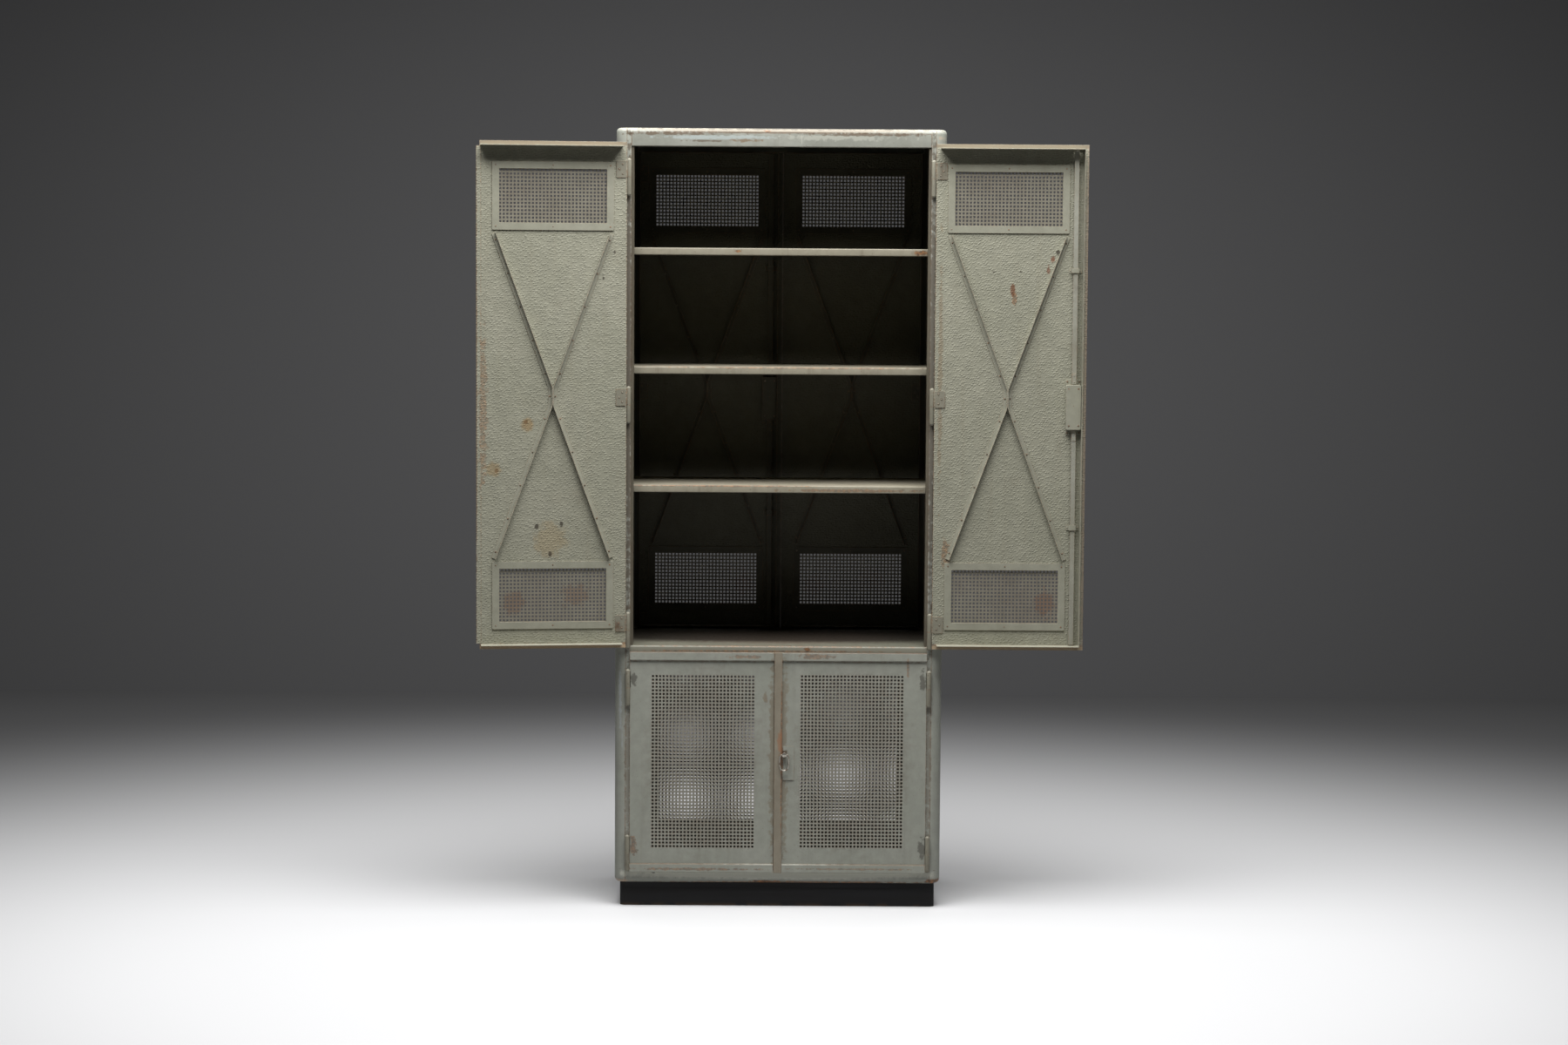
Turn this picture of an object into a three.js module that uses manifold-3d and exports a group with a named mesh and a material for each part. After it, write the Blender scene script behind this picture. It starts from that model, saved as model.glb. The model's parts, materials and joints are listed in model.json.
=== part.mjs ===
// Double-sided steel cupboard with perforated doors, rod locks and lift-off hinges.
// Millimetres, +Z up, front doors towards -Y. The two upper front doors stand open.

import * as THREE from "three";
import { mergeVertices } from "three/addons/utils/BufferGeometryUtils.js";
import Module from "manifold-3d";

const wasm = await Module();
wasm.setup();

// Carcass sizes
const width = 914;
const depth = 470;
const height = 2174;
const frontY = -depth / 2;
const gap = 0.3;
const sheet = 2;
const cornerRadius = 28;
const topEdgeRadius = 12;
const bottomEdgeRadius = 14;
const bodyBottom = 67.1;
const sideBottom = 81;
const sideTop = 2160;

// Plinth, set back under the body
const plinthWidth = 884;
const plinthDepth = 438;
const plinthRail = 45;
const plinthCorner = 12;

// Door openings: strip edge and inner edge of the posts, and the levels of the cross members
const stripX = 414.5;
const openingX = 407;
const stripRecess = 4;
const postReturn = 34;
const sillTop = 107;
const deckBottom = 708;
const deckTop = 737.7;
const headerBottom = 2123.6;
const crossReturn = 32;
const sillReturn = 22;
const sillTuck = 5;
const deckRoll = 5;
const rodSlotPlay = 2;
const rodSlotHalfDepth = 5;
const rodMouthHalfWidth = 22;

// Shelves
const shelfTops = [1845, 1514, 1183];
const shelfFace = 20;
const shelfHalfDepth = 185;
const shelfHalfWidth = width / 2 - sheet - gap;
const shelfLip = 14;

// Hinges: the axis stands in front of the frame, the frame knuckle below and the door knuckle above
const hingeX = 420.8;
const hingeOut = 7.6;
const knuckleRadius = 6.8;
const knuckleLength = 46;
const knuckleDome = 6;
const pinRadius = 3.4;
const pinBore = 4.4;
const pinLength = 30;
const upperHinges = [2038, 1409, 780];
const lowerHinges = [619.4, 152];
const barrelSides = 10;

// Upper doors. n is the distance inwards from the hinge axis, s the distance from it across the leaf
const skinOuter = 5.6;
const skinInner = 7.2;
const skinSheet = 1.6;
const hingeEdge = 6.3;
const skinBottom = 732.2;
const skinTop = 2134;
const flangeBottom = 745;
const flangeTop = 2122;
const flangeReach = 49;
const flangeStart = 18;
const plainLeaf = 421.5;
const lockLeaf = 427;
const lapWidth = 9.6;
const plainLeafUnlapped = 414;
const plainFlangeEnd = 410;
const lockFlangeEdge = 414.1;
const hingePlateEnd = 36;
const hingePlateFace = 9.2;

// Windows and their frames
const windowWidth = 296;
const windowHeight = 148;
const windowCentres = [1984, 881.5];
const frameBand = 20;
const frameInner = 7.5;
const frameFace = 11;
const screenOuter = 3.7;
const screenInner = 5.3;
const plainWindowS = 210;
const lockWindowS = 207;

// Brace of two bent angle bars, back to back in the middle
const braceS = 211;
const braceZ = 1433;
const braceHalfWidth = 158;
const braceHalfHeight = 450;
const braceNeck = 25;
const braceSheet = 2;
const braceLeg = 12;

// Rod lock
const lockS = 392.5;
const lockZ = 1411;
const caseHalfHeight = 62;
const caseStart = 370;
const caseEnd = 411.5;
const caseFace = 29;
const rodHalfWidth = 6.5;
const rodOuter = 14;
const rodInner = 19;
const upperRodEnd = 2117;
const lowerRodEnd = 749;
const crankRadius = 10.6;
const crankPin = 2.2;
const crankPlay = 0.6;
const tailStart = 5;
const tailEnd = 15.5;
const camOuter = 21;
const camInner = 24;
const shaftRadius = 4.5;

// Lower doors
const lowerBottom = 98.3;
const lowerTop = 720;
const lowerFace = 2.6;
const bandFace = -2.4;
const topBand = 24;
const bottomBand = 22.5;
const lowerHingeEdge = 6.4;
const plainLower = 409.3;
const latchLower = 431.4;
const stripWidth = 22;
const stripFace = -4.3;

// Latch plate, latch and drop rings
const latchS = 403;
const latchZ = 433.5;
const latchPlate = { start: 375.4, bottom: 361, top: 457 };
const lockPlateHalfWidth = 17;
const lockPlateTop = 24;
const lockPlateBottom = 72;
const plateSheet = 1.7;
const bossRadius = 6.5;
const bossNeck = 5.2;
const bossEnd = -14;
const ringN = -9.5;
const ringWire = 2.2;
const ringBore = 3;
const ringHalfWidth = 12.8;
const ringDrop = 44;
const tongueOuter = 9;
const tongueInner = 12;
const tongueLength = 42;

// Rest pose: how far the upper front doors stand open
const plainOpen = THREE.MathUtils.degToRad(171.9);
const lockOpen = THREE.MathUtils.degToRad(180);

// A quarter round has six flats: three.js draws an arc with twice its curve segments
const curveSegments = 3;
const bendSteps = 2 * curveSegments;

// How far a cutter runs past what it cuts, and how far one piece is sunk into the next to join it
const through = 5;
const bite = 0.2;

// Solids

function solidOf(geometry) {
  const bare = geometry.clone();
  bare.deleteAttribute("normal");
  bare.deleteAttribute("uv");
  const merged = mergeVertices(bare, 1e-4);
  const index = merged.index.array;
  const triangles = [];
  for (let i = 0; i < index.length; i += 3) {
    const [a, b, c] = [index[i], index[i + 1], index[i + 2]];
    if (a !== b && b !== c && c !== a) {
      triangles.push(a, b, c);
    }
  }
  const mesh = new wasm.Mesh({
    numProp: 3,
    vertProperties: merged.attributes.position.array,
    triVerts: new Uint32Array(triangles),
  });
  return new wasm.Manifold(mesh);
}

function geometryOf(solid) {
  const mesh = solid.getMesh();
  const indexed = new THREE.BufferGeometry();
  indexed.setAttribute("position", new THREE.BufferAttribute(mesh.vertProperties, 3));
  indexed.setIndex(new THREE.BufferAttribute(mesh.triVerts, 1));
  const faceted = indexed.toNonIndexed();
  faceted.computeVertexNormals();
  return faceted;
}

function join(...solids) {
  return solids.reduce((whole, piece) => whole.add(piece));
}

function cut(solid, ...cutters) {
  return cutters.reduce((rest, cutter) => rest.subtract(cutter), solid);
}

function block([x0, x1], [y0, y1], [z0, z1]) {
  const geometry = new THREE.BoxGeometry(x1 - x0, y1 - y0, z1 - z0);
  geometry.translate((x0 + x1) / 2, (y0 + y1) / 2, (z0 + z1) / 2);
  return solidOf(geometry);
}

// A shape extruded along an axis. Its own two directions are y, z along x; x, z along y; x, y along z
function prism(shape, axis, from, to) {
  const geometry = new THREE.ExtrudeGeometry(shape, { depth: to - from, bevelEnabled: false, curveSegments });
  if (axis === "y") {
    geometry.translate(0, 0, -to);
    geometry.rotateX(Math.PI / 2);
    return solidOf(geometry);
  }
  geometry.translate(0, 0, from);
  if (axis === "x") {
    geometry.rotateX(Math.PI / 2);
    geometry.rotateZ(Math.PI / 2);
  }
  return solidOf(geometry);
}

// A turned piece about a line that runs along an axis through a point
function turned(profile, axis, [x, y, z], sides = barrelSides) {
  const points = profile.map(([radius, along]) => new THREE.Vector2(radius, along));
  const geometry = new THREE.LatheGeometry(points, sides);
  if (axis === "z") {
    geometry.rotateX(Math.PI / 2);
  }
  if (axis === "x") {
    geometry.rotateZ(-Math.PI / 2);
  }
  geometry.translate(x, y, z);
  const solid = solidOf(geometry);
  return solid.volume() > 0 ? solid : solidOf(flipped(geometry));
}

function flipped(geometry) {
  const turnedRound = geometry.clone();
  const index = turnedRound.index.array;
  for (let i = 0; i < index.length; i += 3) {
    [index[i + 1], index[i + 2]] = [index[i + 2], index[i + 1]];
  }
  return turnedRound;
}

function rod(axis, radius, from, to, centre, sides = barrelSides) {
  return turned([[0, from], [radius, from], [radius, to], [0, to]], axis, centre, sides);
}

function roundedPlan(planWidth, planDepth, radius) {
  const x = planWidth / 2 - radius;
  const y = planDepth / 2 - radius;
  const shape = new THREE.Shape();
  shape.absarc(x, y, radius, 0, Math.PI / 2);
  shape.absarc(-x, y, radius, Math.PI / 2, Math.PI);
  shape.absarc(-x, -y, radius, Math.PI, Math.PI * 1.5);
  shape.absarc(x, -y, radius, Math.PI * 1.5, Math.PI * 2);
  return shape;
}

// A slab with rounded corners in plan and rolled edges above and below
function pillow(planWidth, planDepth, corner, edge, bottom, top) {
  const shape = roundedPlan(planWidth - 2 * edge, planDepth - 2 * edge, corner - edge);
  const geometry = new THREE.ExtrudeGeometry(shape, {
    depth: top - bottom - 2 * edge,
    bevelThickness: edge,
    bevelSize: edge,
    bevelSegments: 4,
    curveSegments,
  });
  geometry.translate(0, 0, bottom + edge);
  return solidOf(geometry);
}

// The middle line of a bent sheet: corners are [x, y] or [x, y, bend radius]
function bentLine(corners) {
  const line = [];
  corners.forEach(([x, y, radius], i) => {
    const corner = new THREE.Vector2(x, y);
    if (!radius) {
      line.push(corner);
      return;
    }
    const toLast = new THREE.Vector2(...corners[i - 1].slice(0, 2)).sub(corner).normalize();
    const toNext = new THREE.Vector2(...corners[i + 1].slice(0, 2)).sub(corner).normalize();
    const half = Math.acos(THREE.MathUtils.clamp(toLast.dot(toNext), -1, 1)) / 2;
    const inwards = toLast.clone().add(toNext).normalize();
    const centre = corner.clone().addScaledVector(inwards, radius / Math.sin(half));
    const start = corner.clone().addScaledVector(toLast, radius / Math.tan(half)).sub(centre);
    const end = corner.clone().addScaledVector(toNext, radius / Math.tan(half)).sub(centre);
    const sweep = Math.atan2(start.cross(end), start.dot(end));
    for (let step = 0; step <= bendSteps; step += 1) {
      const spoke = start.clone().rotateAround(new THREE.Vector2(), (sweep * step) / bendSteps);
      line.push(centre.clone().add(spoke));
    }
  });
  return line;
}

// The outline between two lines that follow a middle line at the given distances to its left
function ribbon(line, left, right) {
  const offset = (distance) =>
    line.map((point, i) => {
      const before = line[Math.max(i - 1, 0)];
      const after = line[Math.min(i + 1, line.length - 1)];
      const runIn = i > 0 ? point.clone().sub(before).normalize() : after.clone().sub(point).normalize();
      const runOut = i < line.length - 1 ? after.clone().sub(point).normalize() : runIn;
      const sideIn = new THREE.Vector2(-runIn.y, runIn.x);
      const sideOut = new THREE.Vector2(-runOut.y, runOut.x);
      const mitre = sideIn.clone().add(sideOut);
      return point.clone().addScaledVector(mitre, distance / (1 + sideIn.dot(sideOut)));
    });
  return new THREE.Shape([...offset(left), ...offset(right).reverse()]);
}

function bentSheet(corners, thickness, axis, from, to) {
  return prism(ribbon(bentLine(corners), thickness / 2, -thickness / 2), axis, from, to);
}

// Materials

const paint = new THREE.MeshStandardMaterial({ color: 0xc9c8ba, roughness: 0.5, metalness: 0 });
const insidePaint = new THREE.MeshStandardMaterial({ color: 0xdcdac8, roughness: 0.55, metalness: 0 });
const mesh = new THREE.MeshStandardMaterial({ color: 0xbdbbab, roughness: 0.6, metalness: 0 });
const blackWood = new THREE.MeshStandardMaterial({ color: 0x2c2b2a, roughness: 0.6, metalness: 0 });
const steel = new THREE.MeshStandardMaterial({ color: 0xb9b6aa, roughness: 0.4, metalness: 0.6 });

function node(name, solid, material) {
  const piece = new THREE.Mesh(geometryOf(solid), material);
  piece.name = name;
  return piece;
}

// Carcass

function plinth() {
  const whole = prism(roundedPlan(plinthWidth, plinthDepth, plinthCorner), "z", 0, bodyBottom - gap);
  const inner = plinthDepth / 2 - plinthRail;
  const bay = (from, to) => block([from, to], [-inner, inner], [-through, bodyBottom + through]);
  const reach = plinthWidth / 2 - plinthRail;
  return cut(whole, bay(plinthRail / 2, reach), bay(-reach, -plinthRail / 2));
}

function slab(low, high) {
  return block([-width, width], [-depth, depth], [low, high]);
}

function hollowPillow(edge, bottom, top) {
  const outer = pillow(width, depth, cornerRadius, edge, bottom, top);
  const inner = pillow(
    width - 2 * sheet,
    depth - 2 * sheet,
    cornerRadius - sheet,
    edge - sheet,
    bottom + sheet,
    top - sheet,
  );
  return cut(outer, inner);
}

// A cross member's front sheet, folded inwards at one or both edges, between the post strips
function crossMember(corners, from = -stripX + gap, to = stripX - gap) {
  return bentSheet(corners, sheet, "x", from, to);
}

function bottomPan() {
  const pan = cut(hollowPillow(bottomEdgeRadius, bodyBottom, sideTop), slab(sideBottom, height));
  const sill = crossMember([
    [frontY + sheet / 2, sideBottom - sillTuck],
    [frontY + sheet / 2, sillTop - sheet / 2],
    [frontY + sillReturn, sillTop - sheet / 2],
  ]);
  return join(pan, sill, sill.rotate([0, 0, 180]));
}

function topPanel() {
  return cut(hollowPillow(topEdgeRadius, bodyBottom, height), slab(0, sideTop));
}

// The place in the carcass where a lock rod ends up when it is thrown
const rodHomeX = hingeX - lockS;
const rodHomeY = frontY - hingeOut + (rodOuter + rodInner) / 2;

// The slot in the deck that the lower rod drops into
function rodSlot(low, high) {
  const across = rodHalfWidth + rodSlotPlay;
  const depths = [rodHomeY - rodSlotHalfDepth, rodHomeY + rodSlotHalfDepth];
  return block([rodHomeX - across, rodHomeX + across], depths, [low, high]);
}

// The mouth in a header's return that the upper rod rises into, open towards the inside
function rodMouth() {
  const sides = [rodHomeX - rodMouthHalfWidth, rodHomeX + rodMouthHalfWidth];
  const depths = [rodHomeY - rodSlotHalfDepth, frontY + crossReturn + through];
  return block(sides, depths, [headerBottom - through, headerBottom + sheet + through]);
}

function header() {
  const corners = [
    [frontY + crossReturn, headerBottom + sheet / 2],
    [frontY + sheet / 2, headerBottom + sheet / 2],
    [frontY + sheet / 2, sideTop - gap],
  ];
  return cut(crossMember(corners), rodMouth());
}

function deckPanel() {
  const inset = sheet + gap;
  const plan = roundedPlan(width - 2 * inset, depth - 2 * inset, cornerRadius - inset);
  const top = prism(plan, "z", deckTop - sheet, deckTop);
  const lip = crossMember([
    [frontY + sillReturn, deckBottom + sheet / 2],
    [frontY + sheet / 2, deckBottom + sheet / 2],
    [frontY + sheet / 2, deckTop - sheet / 2, deckRoll],
    [frontY + crossReturn, deckTop - sheet / 2],
  ]);
  const mouthEnd = frontY + deckRoll + 3;
  const levels = [deckTop - through, deckTop + through];
  const mouth = block([-stripX, stripX], [frontY - through, mouthEnd], levels);
  const slot = rodSlot(deckTop - 2 * through, deckTop + through);
  const trimmed = cut(top, mouth, mouth.rotate([0, 0, 180]));
  const whole = join(trimmed, lip, lip.rotate([0, 0, 180]));
  return cut(whole, slot, slot.rotate([0, 0, 180]));
}

function frameKnuckle(x, y, middle, side) {
  const low = middle - knuckleLength;
  const profile = [
    [0, low - knuckleDome],
    [knuckleRadius * 0.7, low - knuckleDome * 0.7],
    [knuckleRadius, low],
    [knuckleRadius, middle],
    [pinRadius, middle],
    [pinRadius, middle + pinLength],
    [0, middle + pinLength],
  ];
  const reach = hingeOut + 1;
  const web = block([x - 3, x + 3], side > 0 ? [y + 3, y + reach] : [y - reach, y - 3], [low, middle]);
  return join(turned(profile, "z", [x, y, 0]), web);
}

function rightSidePanel() {
  const middle = sheet / 2;
  const corners = [
    [openingX + middle, frontY + postReturn],
    [openingX + middle, frontY + stripRecess + middle],
    [stripX + middle, frontY + stripRecess + middle],
    [stripX + middle, frontY + middle],
    [width / 2 - middle, frontY + middle, cornerRadius - middle],
  ];
  const rearCorners = corners.map(([x, y, radius]) => [x, -y, radius]).reverse();
  const wall = bentSheet([...corners, ...rearCorners], sheet, "z", sideBottom + gap, sideTop - gap);
  const notch = (low, high) =>
    join(
      block([openingX - 5, stripX + gap], [-depth, depth], [low, high]),
      block([openingX - 5, stripX + sheet + gap], [frontY + sheet, -frontY - sheet], [low, high]),
    );
  const trimmed = cut(
    wall,
    notch(0, sillTop + gap),
    notch(deckBottom - gap, deckTop + gap),
    notch(headerBottom - gap, height),
  );
  const knuckles = [...upperHinges, ...lowerHinges].flatMap((middleZ) => [
    frameKnuckle(hingeX, frontY - hingeOut, middleZ, 1),
    frameKnuckle(hingeX, -frontY + hingeOut, middleZ, -1),
  ]);
  return join(trimmed, ...knuckles);
}

// A tray whose end flanges are screwed to the side panels
function shelf(top) {
  const low = top - shelfFace;
  const half = sheet / 2;
  const tray = bentSheet(
    [
      [-shelfHalfDepth + shelfLip, low + half],
      [-shelfHalfDepth + half, low + half],
      [-shelfHalfDepth + half, top - half],
      [shelfHalfDepth - half, top - half],
      [shelfHalfDepth - half, low + half],
      [shelfHalfDepth - shelfLip, low + half],
    ],
    sheet,
    "x",
    -shelfHalfWidth,
    shelfHalfWidth,
  );
  const end = block([shelfHalfWidth - sheet, shelfHalfWidth], [-shelfHalfDepth, shelfHalfDepth], [low, top]);
  return join(tray, end, end.rotate([0, 0, 180]));
}

// Doors. Each leaf is drawn closed, with x across the leaf from the hinge axis, y inwards and z up

function doorKnuckle(middle, webTo) {
  const low = middle + gap;
  const high = middle + knuckleLength;
  const profile = [
    [0, middle + pinLength + 2],
    [pinBore, middle + pinLength + 2],
    [pinBore, low],
    [knuckleRadius, low],
    [knuckleRadius, high],
    [knuckleRadius * 0.7, high + knuckleDome * 0.7],
    [0, high + knuckleDome],
  ];
  return join(turned(profile, "z", [0, 0, 0]), block([4.9, 8.4], [2.6, webTo - 0.1], [low, high]));
}

function windowCut(centreS, centreZ, from, to) {
  return block(
    [centreS - windowWidth / 2, centreS + windowWidth / 2],
    [from, to],
    [centreZ - windowHeight / 2, centreZ + windowHeight / 2],
  );
}

function upperHingeParts() {
  return upperHinges.flatMap((middle) => [
    doorKnuckle(middle, skinInner),
    block([7, hingePlateEnd], [skinInner - bite, hingePlateFace], [middle - 2, middle + knuckleLength - 2]),
  ]);
}

// Flanges above and below only
function flangePair() {
  const across = [flangeStart, plainFlangeEnd];
  const flange = (z) => block(across, [skinInner - bite, flangeReach], [z, z + skinSheet]);
  return [flange(flangeBottom), flange(flangeTop - skinSheet)];
}

// The lock door's flange is a frame of its own round three sides: above, below and down the free edge
function flangeTray() {
  const levels = [flangeBottom, flangeTop];
  const whole = block([flangeStart, lockFlangeEdge], [skinInner + gap, flangeReach], levels);
  const inside = block(
    [flangeStart - through, lockFlangeEdge - skinSheet],
    [skinInner - through, flangeReach + through],
    [flangeBottom + skinSheet, flangeTop - skinSheet],
  );
  const slot = block(
    [lockS - rodHalfWidth - 1, lockS + rodHalfWidth + 1],
    [rodOuter - 1, rodInner + 1],
    [flangeBottom - 5, flangeTop + 5],
  );
  return cut(whole, inside, slot);
}

// The plain door has a lap strip behind its free edge where the other door covers it
function plainSkin(lapped) {
  const edge = lapped ? plainLeaf - lapWidth : plainLeafUnlapped;
  const face = block([hingeEdge, edge], [skinOuter, skinInner], [skinBottom, skinTop]);
  const pieces = [face, ...upperHingeParts()];
  pieces.push(...flangePair());
  if (lapped) {
    const levels = [flangeBottom + skinSheet + 1, flangeTop - skinSheet - 1];
    const behind = skinInner + gap + skinSheet;
    pieces.push(block([edge - 3, edge], [skinInner - bite, behind], levels));
    pieces.push(block([edge - bite, plainLeaf], [skinInner + gap, behind], levels));
  }
  return cut(join(...pieces), ...windowCentres.map((z) => windowCut(plainWindowS, z, 0, 20)));
}

function lockSkin() {
  const face = block([hingeEdge, lockLeaf], [skinOuter, skinInner], [skinBottom, skinTop]);
  const windows = windowCentres.map((z) => windowCut(lockWindowS, z, 0, 20));
  const spindleHole = rod("y", shaftRadius + 0.8, 0, 15, [lockS, 0, lockZ]);
  return cut(join(face, ...upperHingeParts()), ...windows, spindleHole);
}

function windowFrame(centreS, centreZ) {
  const halfWidth = windowWidth / 2 + frameBand;
  const halfHeight = windowHeight / 2 + frameBand;
  const outer = block(
    [centreS - halfWidth, centreS + halfWidth],
    [frameInner, frameFace],
    [centreZ - halfHeight, centreZ + halfHeight],
  );
  return cut(outer, windowCut(centreS, centreZ, 0, 20));
}

function windowScreen(centreS, centreZ) {
  const halfWidth = windowWidth / 2 + frameBand;
  const halfHeight = windowHeight / 2 + frameBand;
  return block(
    [centreS - halfWidth, centreS + halfWidth],
    [screenOuter, screenInner],
    [centreZ - halfHeight, centreZ + halfHeight],
  );
}

function brace() {
  const line = [
    new THREE.Vector2(-braceHalfWidth, braceHalfHeight),
    new THREE.Vector2(-1, braceNeck),
    new THREE.Vector2(-1, -braceNeck),
    new THREE.Vector2(-braceHalfWidth, -braceHalfHeight),
  ];
  const rib = prism(ribbon(line, 1.1, -1.1), "y", frameInner, frameInner + braceLeg);
  const leg = prism(ribbon(line, -1, -braceLeg), "y", frameInner, frameInner + braceSheet);
  const bar = join(rib, leg);
  return join(bar, bar.mirror([1, 0, 0]));
}

// Rod lock

function lockCase() {
  const low = lockZ - caseHalfHeight;
  const high = lockZ + caseHalfHeight;
  const shell = block([caseStart, caseEnd], [frameInner, caseFace], [low, high]);
  const inside = block(
    [caseStart + sheet, caseEnd - sheet],
    [frameInner - 1, caseFace - sheet],
    [low + sheet, high - sheet],
  );
  const slots = block(
    [lockS - rodHalfWidth - 0.6, lockS + rodHalfWidth + 0.6],
    [rodOuter - 0.6, rodInner + 0.6],
    [low - 5, high + 5],
  );
  return cut(shell, inside, slots);
}

// The upper rod; its tail is forked round a crank pin beside the spindle
function upperRod() {
  const pinDrop = crankRadius * Math.SQRT1_2;
  const bar = block([-rodHalfWidth, rodHalfWidth], [rodOuter, rodInner], [22, upperRodEnd - lockZ]);
  const tail = block([tailStart, tailEnd], [rodOuter, rodInner], [-pinDrop - 6, 28]);
  const fork = crankPin + crankPlay;
  const mouth = block([tailStart - 1, crankRadius + fork], [0, 30], [-pinDrop - fork, -pinDrop + fork]);
  return cut(join(bar, tail), mouth).translate([lockS, 0, lockZ]);
}

function lowerRod() {
  const turnedOver = upperRod().translate([-lockS, 0, -lockZ]).mirror([1, 0, 0]).mirror([0, 0, 1]);
  const extra = block([-40, 40], [0, 30], [-(upperRodEnd - lockZ) - 1, -(lockZ - lowerRodEnd)]);
  return cut(turnedOver, extra).translate([lockS, 0, lockZ]);
}

// A spindle with its boss outside the door; plateOuter is the face of the plate that it turns in
function spindle(plateOuter, end) {
  const profile = [
    [0, bossEnd],
    [bossRadius - 1.5, bossEnd],
    [bossRadius, bossEnd + 1.5],
    [bossRadius, stripFace - 0.7],
    [bossNeck, stripFace - 0.7],
    [bossNeck, plateOuter - gap],
    [shaftRadius, plateOuter - gap],
    [shaftRadius, end],
    [0, end],
  ];
  const body = turned(profile, "y", [0, 0, 0], 12);
  return cut(body, rod("x", ringBore, -10, 10, [0, ringN, 0], 8));
}

function lockSpindle() {
  const reach = crankRadius * Math.SQRT1_2;
  const pin = (x, z) => rod("y", crankPin, rodOuter - 0.5, camInner, [x, 0, z], 8);
  const armEnd = crankRadius + 3.4;
  const arm = block([-armEnd, armEnd], [camOuter, camInner], [-4, 4]).rotate([0, 45, 0]);
  return join(spindle(screenOuter, camInner), arm, pin(reach, -reach), pin(-reach, reach)).translate([
    lockS,
    0,
    lockZ,
  ]);
}

function latchSpindle() {
  const tongue = block([-7, 7], [tongueOuter, tongueInner], [-tongueLength, 7]);
  return join(spindle(lowerFace - gap - plateSheet, tongueInner), tongue).translate([latchS, 0, latchZ]);
}

function dropRing(centreS, centreZ) {
  const side = [
    [-2.5, 0],
    [-8, -0.4],
    [-11.6, -5],
    [-ringHalfWidth, -17],
    [-11.8, -30],
    [-7.6, -ringDrop + 2],
  ];
  const bottom = [[0, -ringDrop]];
  const points = [...side, ...bottom, ...side.map(([x, z]) => [-x, z]).reverse()];
  const path = new THREE.CatmullRomCurve3(
    points.map(([x, z]) => new THREE.Vector3(centreS + x, ringN, centreZ + z)),
    false,
    "centripetal",
  );
  const section = new THREE.Shape();
  section.absarc(0, 0, ringWire, 0, Math.PI * 2);
  const geometry = new THREE.ExtrudeGeometry(section, { steps: 28, curveSegments: 4, extrudePath: path });
  const solid = solidOf(geometry);
  return solid.volume() > 0 ? solid : solidOf(flipped(indexedOf(geometry)));
}

function indexedOf(geometry) {
  const bare = geometry.clone();
  bare.deleteAttribute("normal");
  bare.deleteAttribute("uv");
  return mergeVertices(bare, 1e-4);
}

function lockPlate() {
  const plate = block(
    [lockS - lockPlateHalfWidth, lockS + lockPlateHalfWidth],
    [screenOuter, screenInner],
    [lockZ - lockPlateBottom, lockZ + lockPlateTop],
  );
  return cut(plate, rod("y", shaftRadius + 0.8, 0, 15, [lockS, 0, lockZ]));
}

// Lower doors

function lowerPanel(edge) {
  const half = sheet / 2;
  const section = [
    [skinInner, lowerTop - half],
    [bandFace + half, lowerTop - half],
    [bandFace + half, lowerTop - topBand],
    [lowerFace + half, lowerTop - topBand - half],
    [lowerFace + half, lowerBottom + bottomBand + half],
    [bandFace + half, lowerBottom + bottomBand],
    [bandFace + half, lowerBottom + half],
    [skinInner, lowerBottom + half],
  ];
  const face = bentSheet(section, sheet, "x", lowerHingeEdge, edge);
  const rim = (from) =>
    join(
      block([from, from + sheet], [lowerFace, skinInner], [lowerBottom, lowerTop]),
      block([from, from + sheet], [bandFace, skinInner], [lowerTop - topBand, lowerTop]),
      block([from, from + sheet], [bandFace, skinInner], [lowerBottom, lowerBottom + bottomBand]),
    );
  const clearance = lowerHinges.map((middle) =>
    rod("z", knuckleRadius + 0.9, middle - knuckleLength - knuckleDome - 1, middle + gap / 2, [0, 0, 0], 16),
  );
  const panel = cut(join(face, rim(lowerHingeEdge), rim(edge - sheet)), ...clearance);
  return join(panel, ...lowerHinges.map((middle) => doorKnuckle(middle, skinInner)));
}

function latchPanel() {
  return cut(lowerPanel(latchLower), rod("y", shaftRadius + 0.8, -5, 15, [latchS, 0, latchZ]));
}

// The strip that laps over the other door, with the plate round the latch that is welded to it
function coverStrip() {
  const from = latchLower - stripWidth;
  const levels = [lowerBottom, lowerTop];
  const between = [lowerBottom + bottomBand + 2.4, lowerTop - topBand - 2.4];
  const { start, bottom, top } = latchPlate;
  const outer = lowerFace - gap - plateSheet;
  const whole = join(
    block([from, latchLower], [stripFace, bandFace - gap], levels),
    block([from, latchLower], [stripFace, lowerFace - gap], between),
    block([start, from + bite], [outer, lowerFace - gap], [bottom, top]),
  );
  return cut(whole, rod("y", shaftRadius + 0.8, outer - bite, 15, [latchS, 0, latchZ]));
}

// Assembly

function leafGroup(side, opening, pieces) {
  const leaf = new THREE.Group();
  leaf.position.set(side * hingeX, frontY - hingeOut, 0);
  leaf.rotation.z = side * opening;
  leaf.scale.x = -side;
  leaf.add(...pieces);
  return leaf;
}

function windowNodes(name, centreS) {
  return windowCentres.flatMap((z, i) => {
    const level = ["upper", "lower"][i];
    return [
      node(`${name}_${level}_screen`, windowScreen(centreS, z), mesh),
      node(`${name}_${level}_frame`, windowFrame(centreS, z), insidePaint),
    ];
  });
}

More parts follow.
